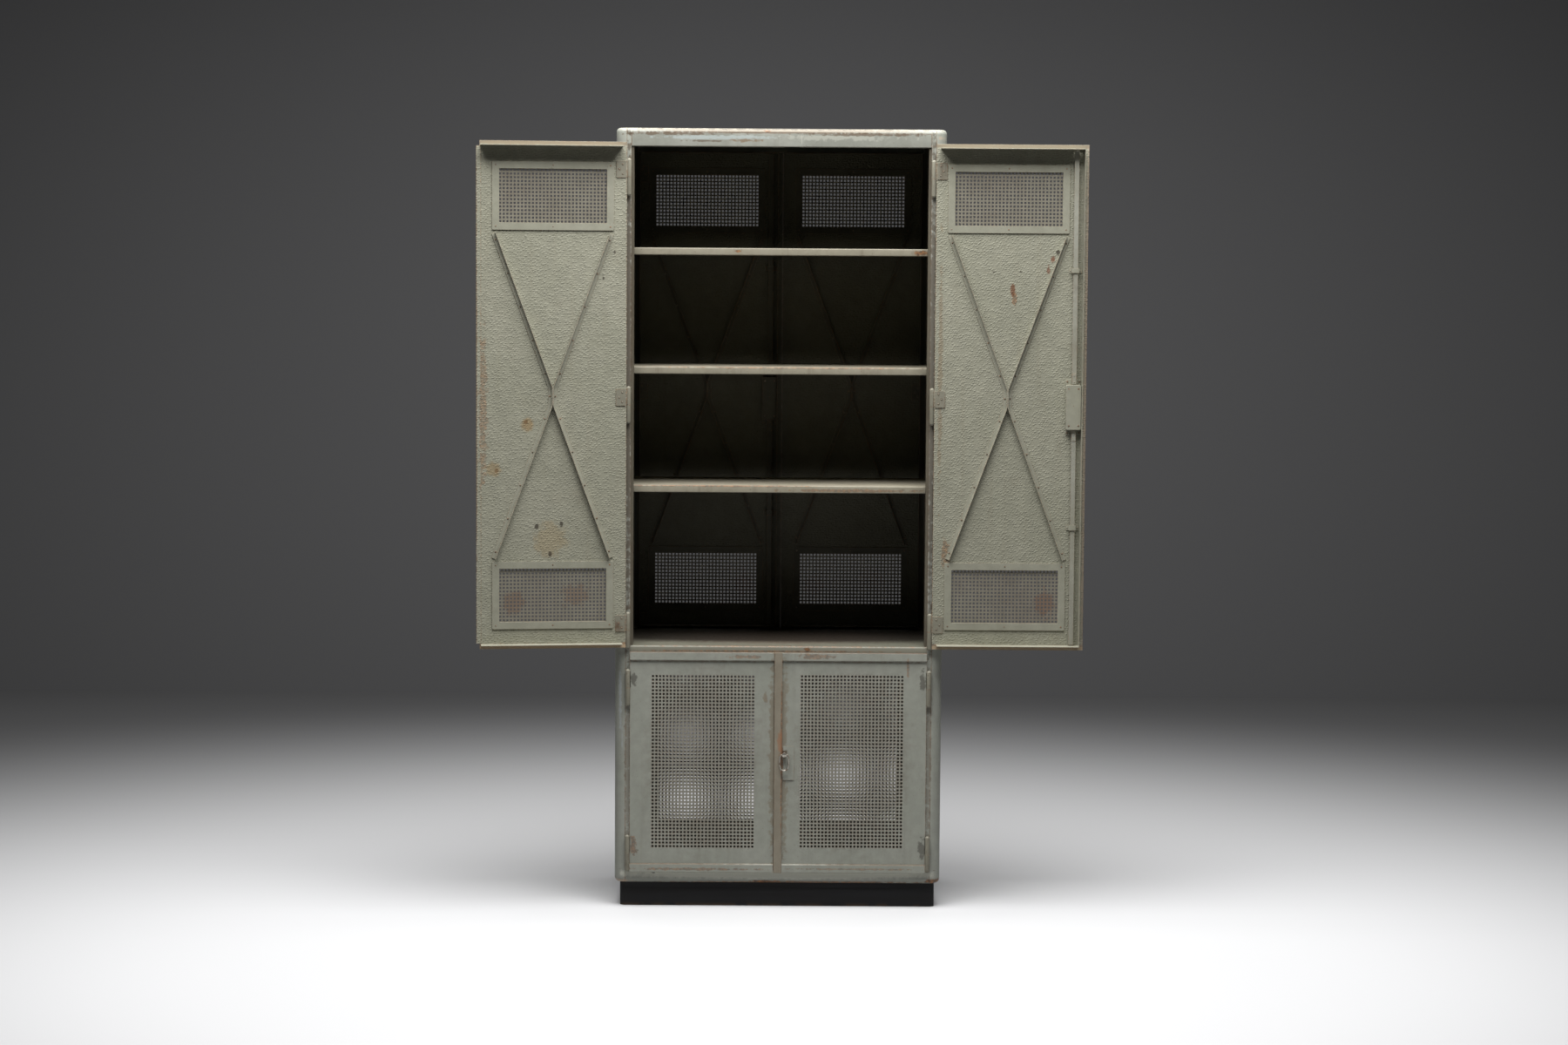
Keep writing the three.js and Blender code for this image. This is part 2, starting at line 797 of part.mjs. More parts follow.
function upperDoors(face, plainAngle, lockAngle, lapped) {
  const plain = `${face}_plain_door`;
  const lock = `${face}_lock_door`;
  const braceSolid = brace();
  return [
    leafGroup(-1, plainAngle, [
      node(`${plain}_skin`, plainSkin(lapped), insidePaint),
      node(`${plain}_brace`, braceSolid.translate([braceS, 0, braceZ]), insidePaint),
      ...windowNodes(plain, plainWindowS),
    ]),
    leafGroup(1, lockAngle, [
      node(`${lock}_skin`, lockSkin(), insidePaint),
      node(`${lock}_tray`, flangeTray(), insidePaint),
      node(`${lock}_brace`, braceSolid.translate([braceS - 2, 0, braceZ]), insidePaint),
      ...windowNodes(lock, lockWindowS),
      node(`${face}_lock_case`, lockCase(), insidePaint),
      node(`${face}_upper_rod`, upperRod(), steel),
      node(`${face}_lower_rod`, lowerRod(), steel),
      node(`${face}_lock_spindle`, lockSpindle(), steel),
      node(`${face}_lock_plate`, lockPlate(), paint),
      node(`${face}_lock_ring`, dropRing(lockS, lockZ), steel),
    ]),
  ];
}

function lowerDoors(face) {
  return [
    leafGroup(-1, 0, [node(`${face}_lower_plain_door`, lowerPanel(plainLower), paint)]),
    leafGroup(1, 0, [
      node(`${face}_lower_latch_door`, latchPanel(), paint),
      node(`${face}_cover_strip`, coverStrip(), paint),
      node(`${face}_latch_spindle`, latchSpindle(), steel),
      node(`${face}_latch_ring`, dropRing(latchS, latchZ), steel),
    ]),
  ];
}

function carcass() {
  const right = rightSidePanel();
  return [
    node("plinth", plinth(), blackWood),
    node("bottom_pan", bottomPan(), paint),
    node("left_side_panel", right.mirror([1, 0, 0]), paint),
    node("right_side_panel", right, paint),
    node("top_panel", topPanel(), paint),
    node("front_header", header(), paint),
    node("rear_header", header().rotate([0, 0, 180]), paint),
    node("deck_panel", deckPanel(), paint),
    ...shelfTops.map((top, i) => node(`${["upper", "middle", "lower"][i]}_shelf`, shelf(top), insidePaint)),
  ];
}

const frontSide = new THREE.Group();
frontSide.add(...upperDoors("front", plainOpen, lockOpen, true), ...lowerDoors("front"));

const rearSide = new THREE.Group();
rearSide.rotation.z = Math.PI;
rearSide.add(...upperDoors("rear", 0, 0, false), ...lowerDoors("rear"));

const cupboard = new THREE.Group();
cupboard.add(...carcass(), frontSide, rearSide);

export default cupboard;
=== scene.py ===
import json
import math

import bmesh
import bpy
from mathutils import Matrix, Vector

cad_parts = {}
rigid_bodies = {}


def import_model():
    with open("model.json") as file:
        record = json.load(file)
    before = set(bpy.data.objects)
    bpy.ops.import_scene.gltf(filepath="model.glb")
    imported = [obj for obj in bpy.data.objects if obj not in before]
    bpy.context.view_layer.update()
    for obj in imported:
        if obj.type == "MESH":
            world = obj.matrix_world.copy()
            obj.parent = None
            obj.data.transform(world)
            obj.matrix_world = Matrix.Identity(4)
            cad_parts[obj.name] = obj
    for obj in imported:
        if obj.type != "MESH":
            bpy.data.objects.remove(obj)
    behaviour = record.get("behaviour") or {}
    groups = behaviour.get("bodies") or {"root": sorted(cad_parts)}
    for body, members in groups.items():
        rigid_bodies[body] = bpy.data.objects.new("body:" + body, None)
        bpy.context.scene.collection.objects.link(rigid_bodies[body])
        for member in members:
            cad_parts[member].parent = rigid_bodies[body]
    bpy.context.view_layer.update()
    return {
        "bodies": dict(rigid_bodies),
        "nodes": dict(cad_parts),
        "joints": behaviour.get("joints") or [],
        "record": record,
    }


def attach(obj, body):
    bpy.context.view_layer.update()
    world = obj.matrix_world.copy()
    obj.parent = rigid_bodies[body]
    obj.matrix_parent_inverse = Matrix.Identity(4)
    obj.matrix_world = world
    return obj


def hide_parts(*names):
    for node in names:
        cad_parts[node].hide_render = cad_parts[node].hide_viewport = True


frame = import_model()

mm = 0.001
for leftOver in ("Cube", "Light", "Camera"):
    if leftOver in bpy.data.objects:
        bpy.data.objects.remove(bpy.data.objects[leftOver])

# camera, as the photograph was taken

shot = {"focal": 74.8, "place": (-0.0264, -9.27665, 1.7996), "down": 4.525, "turn": 0.249, "roll": 0.386}


def placeCamera():
    down, turn, roll = (math.radians(shot[key]) for key in ("down", "turn", "roll"))
    ahead = Vector((math.sin(turn) * math.cos(down), math.cos(turn) * math.cos(down), -math.sin(down)))
    right = Vector((math.cos(turn), -math.sin(turn), 0))
    up = right.cross(ahead)
    across = math.cos(roll) * right + math.sin(roll) * up
    upward = -math.sin(roll) * right + math.cos(roll) * up
    data = bpy.data.cameras.new("photoCamera")
    data.lens = shot["focal"]
    data.sensor_width = 36
    data.clip_end = 60
    camera = bpy.data.objects.new("photoCamera", data)
    bpy.context.scene.collection.objects.link(camera)
    turned = Matrix((across, upward, -ahead)).transposed().to_4x4()
    camera.matrix_world = Matrix.Translation(shot["place"]) @ turned
    bpy.context.scene.camera = camera


placeCamera()
bpy.context.scene.view_settings.view_transform = "Standard"
print("camera placed")

# shader tools


def tone(red, green, blue):
    # a colour as read off a screen, 0 to 255, as the shader takes it
    channels = (red / 255, green / 255, blue / 255)
    return tuple(c / 12.92 if c < 0.04045 else ((c + 0.055) / 1.055) ** 2.4 for c in channels) + (1,)


def feed(tree, node, inputs):
    # an input is a plain value or the output that feeds it
    for key, value in inputs.items():
        if isinstance(value, bpy.types.NodeSocket):
            tree.links.new(value, node.inputs[key])
        else:
            node.inputs[key].default_value = value


def put(tree, kind, inputs=None, **settings):
    node = tree.nodes.new("ShaderNode" + kind)
    for key, value in settings.items():
        setattr(node, key, value)
    feed(tree, node, inputs or {})
    return node


def sums(tree, operation, a, b=0.0, clamp=False):
    return put(tree, "Math", {0: a, 1: b}, operation=operation, use_clamp=clamp).outputs[0]


def times(tree, a, b):
    return sums(tree, "MULTIPLY", a, b)


def vectors(tree, operation, *values):
    node = put(tree, "VectorMath", dict(enumerate(values)), operation=operation)
    return node.outputs["Value" if operation in ("LENGTH", "DOT_PRODUCT") else "Vector"]


def bump(tree, height, distance, strength, normal=None):
    inputs = {"Strength": strength, "Distance": distance, "Height": height}
    if normal:
        inputs["Normal"] = normal
    return put(tree, "Bump", inputs).outputs[0]


def ramp(tree, value, low, high, start=0.0, end=1.0):
    settings = {"Value": value, "From Min": low, "From Max": high, "To Min": start, "To Max": end}
    return put(tree, "MapRange", settings, interpolation_type="SMOOTHSTEP").outputs[0]


def blend(tree, factor, first, second, mode="MIX"):
    inputs = {0: factor, 6: first, 7: second}
    return put(tree, "Mix", inputs, data_type="RGBA", blend_type=mode, clamp_factor=True).outputs[2]


def noiseOf(tree, vector, scale, detail=3.0, rough=0.55, stretch=None):
    if stretch:
        vector = vectors(tree, "MULTIPLY", vector, stretch)
    inputs = {"Vector": vector, "Scale": scale, "Detail": detail, "Roughness": rough}
    return put(tree, "TexNoise", inputs).outputs["Fac"]


def newGroup(name, inputs, outputs):
    tree = bpy.data.node_groups.new(name, "ShaderNodeTree")
    for label, kind, value in inputs:
        socket = tree.interface.new_socket(name=label, in_out="INPUT", socket_type="NodeSocket" + kind)
        if value is not None:
            socket.default_value = value
    for label, kind in outputs:
        tree.interface.new_socket(name=label, in_out="OUTPUT", socket_type="NodeSocket" + kind)
    return tree, tree.nodes.new("NodeGroupInput").outputs, tree.nodes.new("NodeGroupOutput").inputs


def useGroup(tree, group, inputs):
    return put(tree, "Group", inputs, node_tree=group).outputs


grainShape = {
    "wanderScale": 38.0, "wander": 0.006, "shift": 0.58, "squeeze": 1.16, "smooth": 0.35, "uneven": 0.6,
}


# the leather-like grain rolled into the sheet of the upper doors
def grainGroup():
    g = grainShape
    inputs = [("Vector", "Vector", None), ("Cell", "Float", 0.006)]
    tree, given, out = newGroup("embossedGrain", inputs, [("Height", "Float")])
    wander = put(tree, "TexNoise", {"Vector": given["Vector"], "Scale": g["wanderScale"], "Detail": 1.0})
    pushed = put(tree, "VectorMath", {0: wander.outputs["Color"], "Scale": g["wander"]}, operation="SCALE")
    place = vectors(tree, "ADD", given["Vector"], pushed.outputs[0])
    parts = put(tree, "SeparateXYZ", {0: place}).outputs
    # every next row of scales sits half a scale further on
    shifted = sums(tree, "ADD", parts["X"], times(tree, parts["Z"], g["shift"]))
    rows = put(tree, "CombineXYZ", {"X": shifted, "Z": times(tree, parts["Z"], g["squeeze"])}).outputs[0]
    inputs = {"Vector": rows, "Scale": sums(tree, "DIVIDE", 1.0, given["Cell"]), "Smoothness": g["smooth"],
              "Randomness": g["uneven"]}
    cells = put(tree, "TexVoronoi", inputs, feature="SMOOTH_F1").outputs["Distance"]
    tree.links.new(ramp(tree, cells, 0.66, 0.0), out["Height"])
    return tree


# tired paint: faded patches, dirt that runs down, fine specks
def paintGroup():
    inputs = [("Vector", "Vector", None), ("Paint", "Color", (0.5, 0.5, 0.5, 1)),
              ("Faded", "Color", (0.6, 0.6, 0.6, 1)), ("Dirt", "Color", (0.1, 0.08, 0.06, 1)),
              ("Fading", "Float", 0.5), ("Streaks", "Float", 0.3), ("Specks", "Float", 0.3)]
    tree, given, out = newGroup("tiredPaint", inputs, [("Color", "Color")])
    vector, streaks = given["Vector"], given["Streaks"]
    patches = ramp(tree, noiseOf(tree, vector, 5.0, 5.0, 0.6), 0.38, 0.66)
    base = blend(tree, times(tree, patches, given["Fading"]), given["Paint"], given["Faded"])
    cloud = ramp(tree, noiseOf(tree, vector, 34.0, 4.0, 0.6), 0.3, 0.75, 0.93, 1.06)
    base = blend(tree, 1.0, base, cloud, "MULTIPLY")
    runs = ramp(tree, noiseOf(tree, vector, 1.0, 4.0, 0.6, (42.0, 42.0, 2.2)), 0.52, 0.78)
    smudge = ramp(tree, noiseOf(tree, vector, 11.0, 6.0, 0.65), 0.52, 0.76)
    dirt = sums(tree, "MAXIMUM", times(tree, runs, streaks), times(tree, smudge, streaks))
    specks = ramp(tree, noiseOf(tree, vector, 240.0, 2.0, 0.5), 0.69, 0.74)
    dirt = sums(tree, "MAXIMUM", dirt, times(tree, specks, given["Specks"]))
    tree.links.new(blend(tree, dirt, base, given["Dirt"]), out["Color"])
    return tree


# where edges have lost their paint: a bare line, and a wider rubbed band round it
def edgeGroup():
    inputs = [("Vector", "Vector", None), ("Width", "Float", 0.003), ("Ragged", "Float", 0.6)]
    tree, given, out = newGroup("edgeWear", inputs, [("Worn", "Float"), ("Rubbed", "Float")])
    rounded = put(tree, "Bevel", {"Radius": given["Width"]}, samples=4).outputs[0]
    agree = vectors(tree, "DOT_PRODUCT", rounded, put(tree, "NewGeometry").outputs["Normal"])
    bend = ramp(tree, agree, 0.995, 0.80)
    broken = times(tree, noiseOf(tree, given["Vector"], 42.0, 6.0, 0.7), 0.7)
    fine = times(tree, noiseOf(tree, given["Vector"], 170.0, 3.0, 0.6), 0.3)
    rough = sums(tree, "SUBTRACT", sums(tree, "ADD", broken, fine), 0.5)
    total = sums(tree, "ADD", bend, times(tree, rough, times(tree, given["Ragged"], 5.0)))
    tree.links.new(times(tree, ramp(tree, total, 0.75, 1.0), bend), out["Worn"])
    tree.links.new(times(tree, ramp(tree, total, 0.2, 0.8), bend), out["Rubbed"])
    return tree


# one mark with a ragged outline, placed where it is on the real piece
def markGroup():
    inputs = [("Vector", "Vector", None), ("Place", "Vector", (0, 0, 0)), ("Reach", "Vector", (1, 1, 1)),
              ("Ragged", "Float", 1.0)]
    tree, given, out = newGroup("raggedMark", inputs, [("Mask", "Float")])
    offset = vectors(tree, "SUBTRACT", given["Vector"], given["Place"])
    far = vectors(tree, "LENGTH", vectors(tree, "DIVIDE", offset, given["Reach"]))
    rough = sums(tree, "SUBTRACT", noiseOf(tree, given["Vector"], 60.0, 5.0, 0.65), 0.5)
    total = sums(tree, "ADD", far, times(tree, rough, times(tree, given["Ragged"], 3.0)))
    tree.links.new(ramp(tree, total, 1.0, 0.55), out["Mask"])
    return tree


# rust from dark brown to orange
def rustGroup():
    tree, given, out = newGroup("rustTone", [("Vector", "Vector", None)], [("Color", "Color")])
    fine = ramp(tree, noiseOf(tree, given["Vector"], 130.0, 4.0, 0.65), 0.35, 0.68)
    tree.links.new(blend(tree, fine, tone(70, 47, 34), tone(164, 112, 66)), out["Color"])
    return tree


embossedGrain = grainGroup()
tiredPaint = paintGroup()
edgeWear = edgeGroup()
raggedMark = markGroup()
rustTone = rustGroup()
print("node groups ready")

# finishes


def newFinish(name):
    finish = bpy.data.materials.new(name)
    finish.use_nodes = True
    tree = finish.node_tree
    tree.nodes.clear()
    shader = put(tree, "BsdfPrincipled")
    out = put(tree, "OutputMaterial")
    tree.links.new(shader.outputs[0], out.inputs["Surface"])
    place = put(tree, "TexCoord").outputs["Object"]
    return finish, tree, shader, place


# each mark is (place, reach, ragged, colour, strength), in millimetres on the piece
def paintedFinish(name, look, marks=()):
    finish, tree, shader, place = newFinish(name)
    coat, faded = tone(*look["paint"]), tone(*look["faded"])
    parts = put(tree, "SeparateXYZ", {0: place}).outputs
    if "outside" in look:
        # painted shade: the rear doors' inner side, which lies beyond the outer face of the sheet, is painted
        # darker to stand for the shade inside the cabinet
        within = ramp(tree, parts["Y"], 0.0062, 0.0066)
        coat, faded = (blend(tree, within, tone(*look["outside"]), inner) for inner in (coat, faded))
    colour = useGroup(tree, tiredPaint, {
        "Vector": place, "Paint": coat, "Faded": faded, "Dirt": tone(*look["dirt"]),
        "Fading": look["fading"], "Streaks": look["streaks"], "Specks": look["specks"]})["Color"]
    rust = useGroup(tree, rustTone, {"Vector": place})["Color"]
    wear = useGroup(tree, edgeWear, {"Vector": place, "Width": look["edge"], "Ragged": look["ragged"]})
    colour = blend(tree, times(tree, wear["Rubbed"], look["rubbing"]), colour, tone(*look["rubbed"]))
    colour = blend(tree, times(tree, wear["Worn"], look["wearing"]), colour, rust)
    for spot, reach, ragged, shade, strength in marks:
        mask = useGroup(tree, raggedMark, {"Vector": place, "Place": [c * mm for c in spot],
                                           "Reach": [c * mm for c in reach], "Ragged": ragged})["Mask"]
        colour = blend(tree, times(tree, mask, strength), colour, rust if shade == "rust" else tone(*shade))
    rough = ramp(tree, noiseOf(tree, place, 90.0, 4.0, 0.6), 0.3, 0.7, look["gloss"], look["gloss"] + 0.12)
    rough = sums(tree, "ADD", rough, times(tree, wear["Worn"], 0.25), clamp=True)
    normal = bump(tree, noiseOf(tree, place, 150.0, 4.0, 0.55), 0.0006, 0.25)
    normal = bump(tree, noiseOf(tree, place, 4.5, 1.0, 0.4), look["dent"], 0.5, normal)
    if look.get("emboss"):
        # the grain stops short of the sheet's ends
        inside = times(tree, ramp(tree, parts["Z"], 0.742, 0.746), ramp(tree, parts["Z"], 2.125, 2.121))
        grain = useGroup(tree, embossedGrain, {"Vector": place, "Cell": look["cell"]})["Height"]
        normal = bump(tree, times(tree, grain, inside), look["emboss"], 1.0, normal)
    feed(tree, shader, {"Base Color": colour, "Roughness": rough, "Specular IOR Level": look["shine"],
                        "Normal": normal})
    return finish


# colours as read off a screen, 0 to 255
rosy = (196, 172, 150)     # rubbed primer
earth = (122, 98, 70)
soot = (52, 44, 36)

bodyLook = {
    "paint": (156, 158, 148), "faded": (168, 169, 160), "dirt": (96, 84, 68), "fading": 0.5,
    "streaks": 0.16, "specks": 0.35, "edge": 0.0035, "ragged": 0.75, "rubbed": (190, 172, 152),
    "rubbing": 0.55, "wearing": 0.85, "gloss": 0.42, "shine": 0.4, "dent": 0.003,
}
doorLook = dict(bodyLook, paint=(148, 147, 130), faded=(158, 156, 140), dirt=(116, 98, 72),
                streaks=0.1, specks=0.3, emboss=0.0009, cell=0.0066, gloss=0.5, shine=0.3)
frameLook = dict(bodyLook, paint=(150, 149, 133), faded=(160, 158, 143), streaks=0.1, edge=0.002,
                 dent=0.001)
screenLook = dict(bodyLook, paint=(134, 130, 116), faded=(122, 114, 102), streaks=0.2, edge=0.0006,
                  dent=0.001)
rodLook = dict(bodyLook, paint=(150, 148, 134), streaks=0.3, edge=0.002, wearing=0.9, dent=0.0005)
deckLook = dict(bodyLook, paint=(106, 105, 92), faded=(122, 119, 105), streaks=0.4, rubbing=0.7)
shelfLook = dict(bodyLook, paint=(150, 144, 126), faded=(162, 155, 138), streaks=0.4, specks=0.8,
                 edge=0.003, ragged=1.0, rubbing=0.7, wearing=0.9)
# the strips beside the doors are darker: dirt, and painted shade standing in for the shadow of the open
# leaves
stripDirtAndShadeLook = dict(bodyLook, paint=(92, 86, 73), faded=(112, 106, 92), dirt=(74, 56, 40), streaks=0.6,
                 edge=0.002)
# painted shade: the inside of the rear doors and its trim are painted darker than their real grey-green,
# standing in for the shade inside the cabinet
innerShadeLook = dict(doorLook, paint=(92, 90, 76), faded=(102, 100, 86), dirt=(62, 54, 42),
                 outside=(150, 151, 140))
innerTrimShadeLook = dict(innerShadeLook, paint=(82, 80, 68), emboss=0)
hingeLook = dict(bodyLook, paint=(132, 129, 114), faded=(144, 140, 126), dirt=(88, 64, 44), streaks=0.9,
                 specks=0.8, edge=0.003, ragged=1.0, wearing=1.0)

bodyMarks = [
    ((-180, -235, 2149), (190, 30, 7), 0.9, (172, 180, 177), 0.75),     # paler patch along the header
    ((-215, -235, 2139), (60, 20, 3), 1.3, (92, 76, 58), 0.7),
    ((150, -235, 2150), (170, 20, 9), 1.5, (178, 178, 166), 0.6),
    ((-300, -235, 2158), (140, 20, 4), 1.5, (96, 76, 56), 0.7),
    ((240, -235, 2158), (180, 20, 4), 1.6, (96, 76, 56), 0.7),
    ((0, -235, 2127), (410, 20, 2.5), 1.4, "rust", 0.5),
    ((-95, -235, 2141), (50, 20, 5), 1.4, earth, 0.7),
    ((55, -235, 2144), (1.4, 20, 16), 0.25, (186, 184, 172), 0.8),       # a runner of filler
    ((-60, -235, 2163), (400, 24, 2.6), 1.1, (92, 68, 48), 0.8),
    ((0, -232, 2170), (520, 40, 9), 0.35, (132, 122, 106), 0.9),
    ((0, 0, 2178), (1400, 900, 9), 0.15, (132, 128, 114), 0.85),
    ((0, -222, 2173), (460, 12, 7), 0.9, soot, 0.55),
    ((-41, -232, 2166), (12, 30, 5), 0.6, "rust", 0.7),
    ((440, -222, 2150), (16, 16, 9), 0.7, rosy, 0.5),
    ((421, -235, 1500), (10, 6, 900), 0.8, (82, 68, 52), 0.7),
    ((-421, -235, 1500), (10, 6, 900), 0.8, (82, 68, 52), 0.75),
    ((-421, -235, 420), (9, 6, 330), 1.3, (96, 76, 56), 0.4),
    ((421, -235, 420), (9, 6, 330), 1.3, (96, 76, 56), 0.4),
    # painted light: a pale band on the sill below the lower doors, standing in for the floor's bounce that
    # lights it
    ((0, -235, 93), (600, 8, 18), 0.2, (222, 222, 208), 0.9),
    ((-441, -226, 600), (6, 14, 105), 0.8, (176, 182, 182), 0.75),       # long scratch on the left post
    ((-436, -226, 470), (3, 14, 60), 0.6, (170, 176, 176), 0.6),
    ((-28, -230, 72), (52, 30, 5), 0.8, "rust", 0.9),
    ((0, -228, 69), (450, 16, 3), 0.8, "rust", 0.6),
    ((0, -235, 106), (420, 14, 3), 1.1, (96, 78, 58), 0.6),
    ((442, -224, 74), (34, 30, 9), 0.8, "rust", 0.9),
    ((-436, -224, 72), (32, 30, 9), 0.8, rosy, 0.85),
    ((120, -230, 71), (330, 26, 3.4), 0.7, "rust", 0.6),
    ((-258, -235, 100), (26, 20, 2.6), 0.8, "rust", 0.75),
    ((-348, -235, 96), (7, 20, 5), 0.7, soot, 0.7),
    ((455, 20, 1400), (40, 60, 240), 0.5, (120, 112, 98), 0.35),
    ((-455, -60, 420), (40, 50, 160), 0.5, (120, 112, 98), 0.35),
    ((60, 90, 2174), (260, 80, 20), 1.2, earth, 0.3),
]
doorMarks = [
    ((280, 6, 1355), (23, 40, 23), 0.35, (146, 118, 74), 0.6),           # two round stains
    ((374, 6, 1232), (25, 40, 25), 0.35, (146, 120, 78), 0.5),
    ((285, 6, 1362), (8, 40, 8), 0.5, (104, 76, 46), 0.7),
    ((366, 6, 1228), (7, 40, 9), 0.5, (110, 80, 48), 0.6),
    ((421, 8, 1430), (3, 40, 720), 0.9, (116, 92, 66), 0.6),
    ((402, 6, 1400), (13, 40, 230), 1.0, "rust", 0.4),                       # speckles by the free edge
    ((218, 6, 1035), (52, 40, 60), 0.5, (150, 134, 102), 0.5),
    ((255, 6, 1072), (7, 20, 12), 0.6, soot, 0.8),
    ((186, 6, 1080), (7, 20, 12), 0.6, soot, 0.8),
    ((218, 6, 996), (6, 20, 9), 0.6, soot, 0.8),
    ((40, 6, 1831), (3.4, 20, 5), 0.4, soot, 0.8),
    ((71, 6, 1759), (3.4, 20, 5), 0.4, soot, 0.8),
    ((210, 8, 2129), (600, 40, 6.5), 0.35, (138, 124, 106), 0.85),         # rubbed bands past the flanges
    ((210, 8, 738), (600, 40, 6.5), 0.25, (178, 152, 122), 0.85),
    ((212, 8, 745), (600, 40, 3), 0.6, "rust", 0.6),
]
lockDoorMarks = [
    ((-221, 6, 1734), (9, 30, 24), 0.45, (110, 72, 48), 0.85),           # a chip down to the red primer
    ((-226, 6, 1708), (8, 30, 26), 0.8, "rust", 0.6),
    ((-344, 6, 1839), (7, 20, 7), 0.7, soot, 0.85),
    ((-331, 6, 1820), (8, 20, 10), 0.8, (112, 66, 44), 0.8),
    ((-318, 6, 1790), (6, 20, 16), 0.8, (112, 66, 44), 0.7),
    ((-167, 6, 1783), (5, 20, 4), 0.6, soot, 0.7),
    ((-241, 6, 1784), (5, 20, 4), 0.6, soot, 0.7),
    ((-42, 6, 1000), (14, 30, 44), 0.9, "rust", 0.5),
    ((-22, 6, 1500), (7, 30, 380), 0.9, earth, 0.4),
    ((-210, 8, 2129), (600, 40, 6.5), 0.35, (140, 128, 110), 0.85),
    ((-210, 8, 738), (600, 40, 6.5), 0.3, (168, 146, 118), 0.85),
    ((-212, 8, 745), (600, 40, 3), 0.6, "rust", 0.55),
    ((-424, 8, 1400), (5, 40, 900), 0.5, rosy, 0.45),
]
headerMarks = [mark for mark in bodyMarks if mark[0][2] > 2130]
bodyPaint = paintedFinish("bodyPaint", bodyLook, bodyMarks)
headerPaint = paintedFinish("headerPaint", dict(bodyLook, paint=(142, 143, 133)), headerMarks)
doorPaint = paintedFinish("doorPaint", doorLook, doorMarks)
lockDoorPaint = paintedFinish("lockDoorPaint", doorLook, lockDoorMarks)
framePaint = paintedFinish("framePaint", frameLook)
screenPaint = paintedFinish("screenPaint", screenLook, [
    ((318, 4, 862), (36, 20, 40), 0.6, (118, 88, 68), 0.5),
    ((-318, 4, 862), (32, 20, 44), 0.6, (120, 86, 66), 0.55),
    ((146, 4, 880), (46, 20, 40), 0.6, (120, 92, 72), 0.45),
])
lowerLook = dict(bodyLook, paint=(156, 158, 147), faded=(166, 166, 156), rubbing=0.35, wearing=0.45)
lowerPaint = paintedFinish("lowerPaint", lowerLook, [
    ((211, 2, 412), (190, 20, 300), 0.3, (118, 108, 96), 0.35),
    ((-214, 2, 412), (190, 20, 300), 0.3, (118, 108, 96), 0.35),
    ((16, 2, 642), (10, 12, 26), 1.2, soot, 0.6),
    ((-16, 2, 642), (10, 12, 26), 1.2, soot, 0.6),
    ((-16, 2, 172), (11, 12, 30), 1.2, soot, 0.6),
    ((16, 2, 172), (11, 12, 30), 1.2, "rust", 0.6),
    # painted shade: a dark line along the top edge takes out the highlight on its rounding
    ((0, 2, 720.6), (900, 24, 2.4), 0.25, (92, 72, 54), 0.9),
    # a dark line along the bottom band's top edge: dirt, and painted shade in place of the highlight on its
    # rounding
    ((0, 1, 121.8), (460, 14, 1.8), 0.3, (98, 84, 66), 0.85),
    ((200, -2, 108), (210, 14, 4), 1.3, "rust", 0.5),
    ((-220, -2, 110), (200, 14, 3), 1.4, "rust", 0.4),
    ((408, 2, 440), (14, 30, 330), 0.9, (124, 108, 84), 0.55),
    ((-406, 0, 430), (15, 30, 330), 0.9, (124, 108, 84), 0.5),
    ((-59, 2, 676), (4, 20, 34), 0.9, "rust", 0.5),
    ((385, 2, 594), (8, 20, 20), 1.0, earth, 0.5),
    ((210, 0, 694), (240, 20, 3), 1.0, (104, 88, 66), 0.5),
    ((-210, 0, 694), (240, 20, 3), 1.0, (104, 88, 66), 0.5),
    ((-320, -2, 710), (60, 20, 8), 1.1, "rust", 0.5),
    ((330, -2, 708), (50, 20, 5), 1.2, "rust", 0.45),
])
edgingLook = dict(bodyLook, paint=(142, 134, 118), faded=(154, 146, 130))
edgingPaint = paintedFinish("edgingPaint", edgingLook, [
    ((-411, -2, 440), (3, 20, 260), 0.7, "rust", 0.6),
    ((-411, -2, 470), (14, 20, 44), 0.55, (160, 112, 78), 0.6),
])
platePaint = paintedFinish("platePaint", lowerLook, [
    ((-404, 0, 432), (14, 20, 14), 0.7, (84, 62, 44), 0.8),
    ((-409, 0, 410), (4, 20, 60), 1.0, "rust", 0.7),
])
rodPaint = paintedFinish("rodPaint", rodLook)
deckPaint = paintedFinish("deckPaint", deckLook, [
    ((0, 0, 739), (480, 236, 3), 0.3, (122, 106, 92), 0.9),
    # painted shade: the deck's top is darkened inside the cabinet, behind its lit front strip
    ((0, 30, 738), (900, 222, 8), 0.12, (44, 39, 33), 0.9),
    ((0, -236, 722), (2000, 6, 26), 0.15, (138, 136, 122), 0.9),         # its front edge is paler
    ((79.7, -235, 729), (12, 20, 6), 0.7, "rust", 0.85),
    ((-40, -235, 723), (380, 20, 2.4), 0.9, "rust", 0.6),
    ((0, -236, 737), (450, 8, 4), 1.0, "rust", 0.45),
    ((-260, -235, 714), (110, 20, 4), 0.9, soot, 0.5),
])
shelfPaint = paintedFinish("shelfPaint", shelfLook, [
    ((388, -185, 1834), (24, 20, 9), 0.9, "rust", 0.85),
    ((450, -185, 1834), (10, 20, 12), 0.7, "rust", 0.7),
    ((-120, -185, 1836), (9, 20, 4), 0.9, "rust", 0.8),
    ((60, -184, 1513), (380, 12, 3), 1.1, "rust", 0.6),
    ((-160, -184, 1182), (290, 12, 3), 1.1, "rust", 0.65),
    ((210, -185, 1170), (200, 20, 5), 1.2, "rust", 0.5),
])
stripDirtAndShadePaint = paintedFinish("stripDirtAndShadePaint", stripDirtAndShadeLook)
innerShadePaint = paintedFinish("innerShadePaint", innerShadeLook)
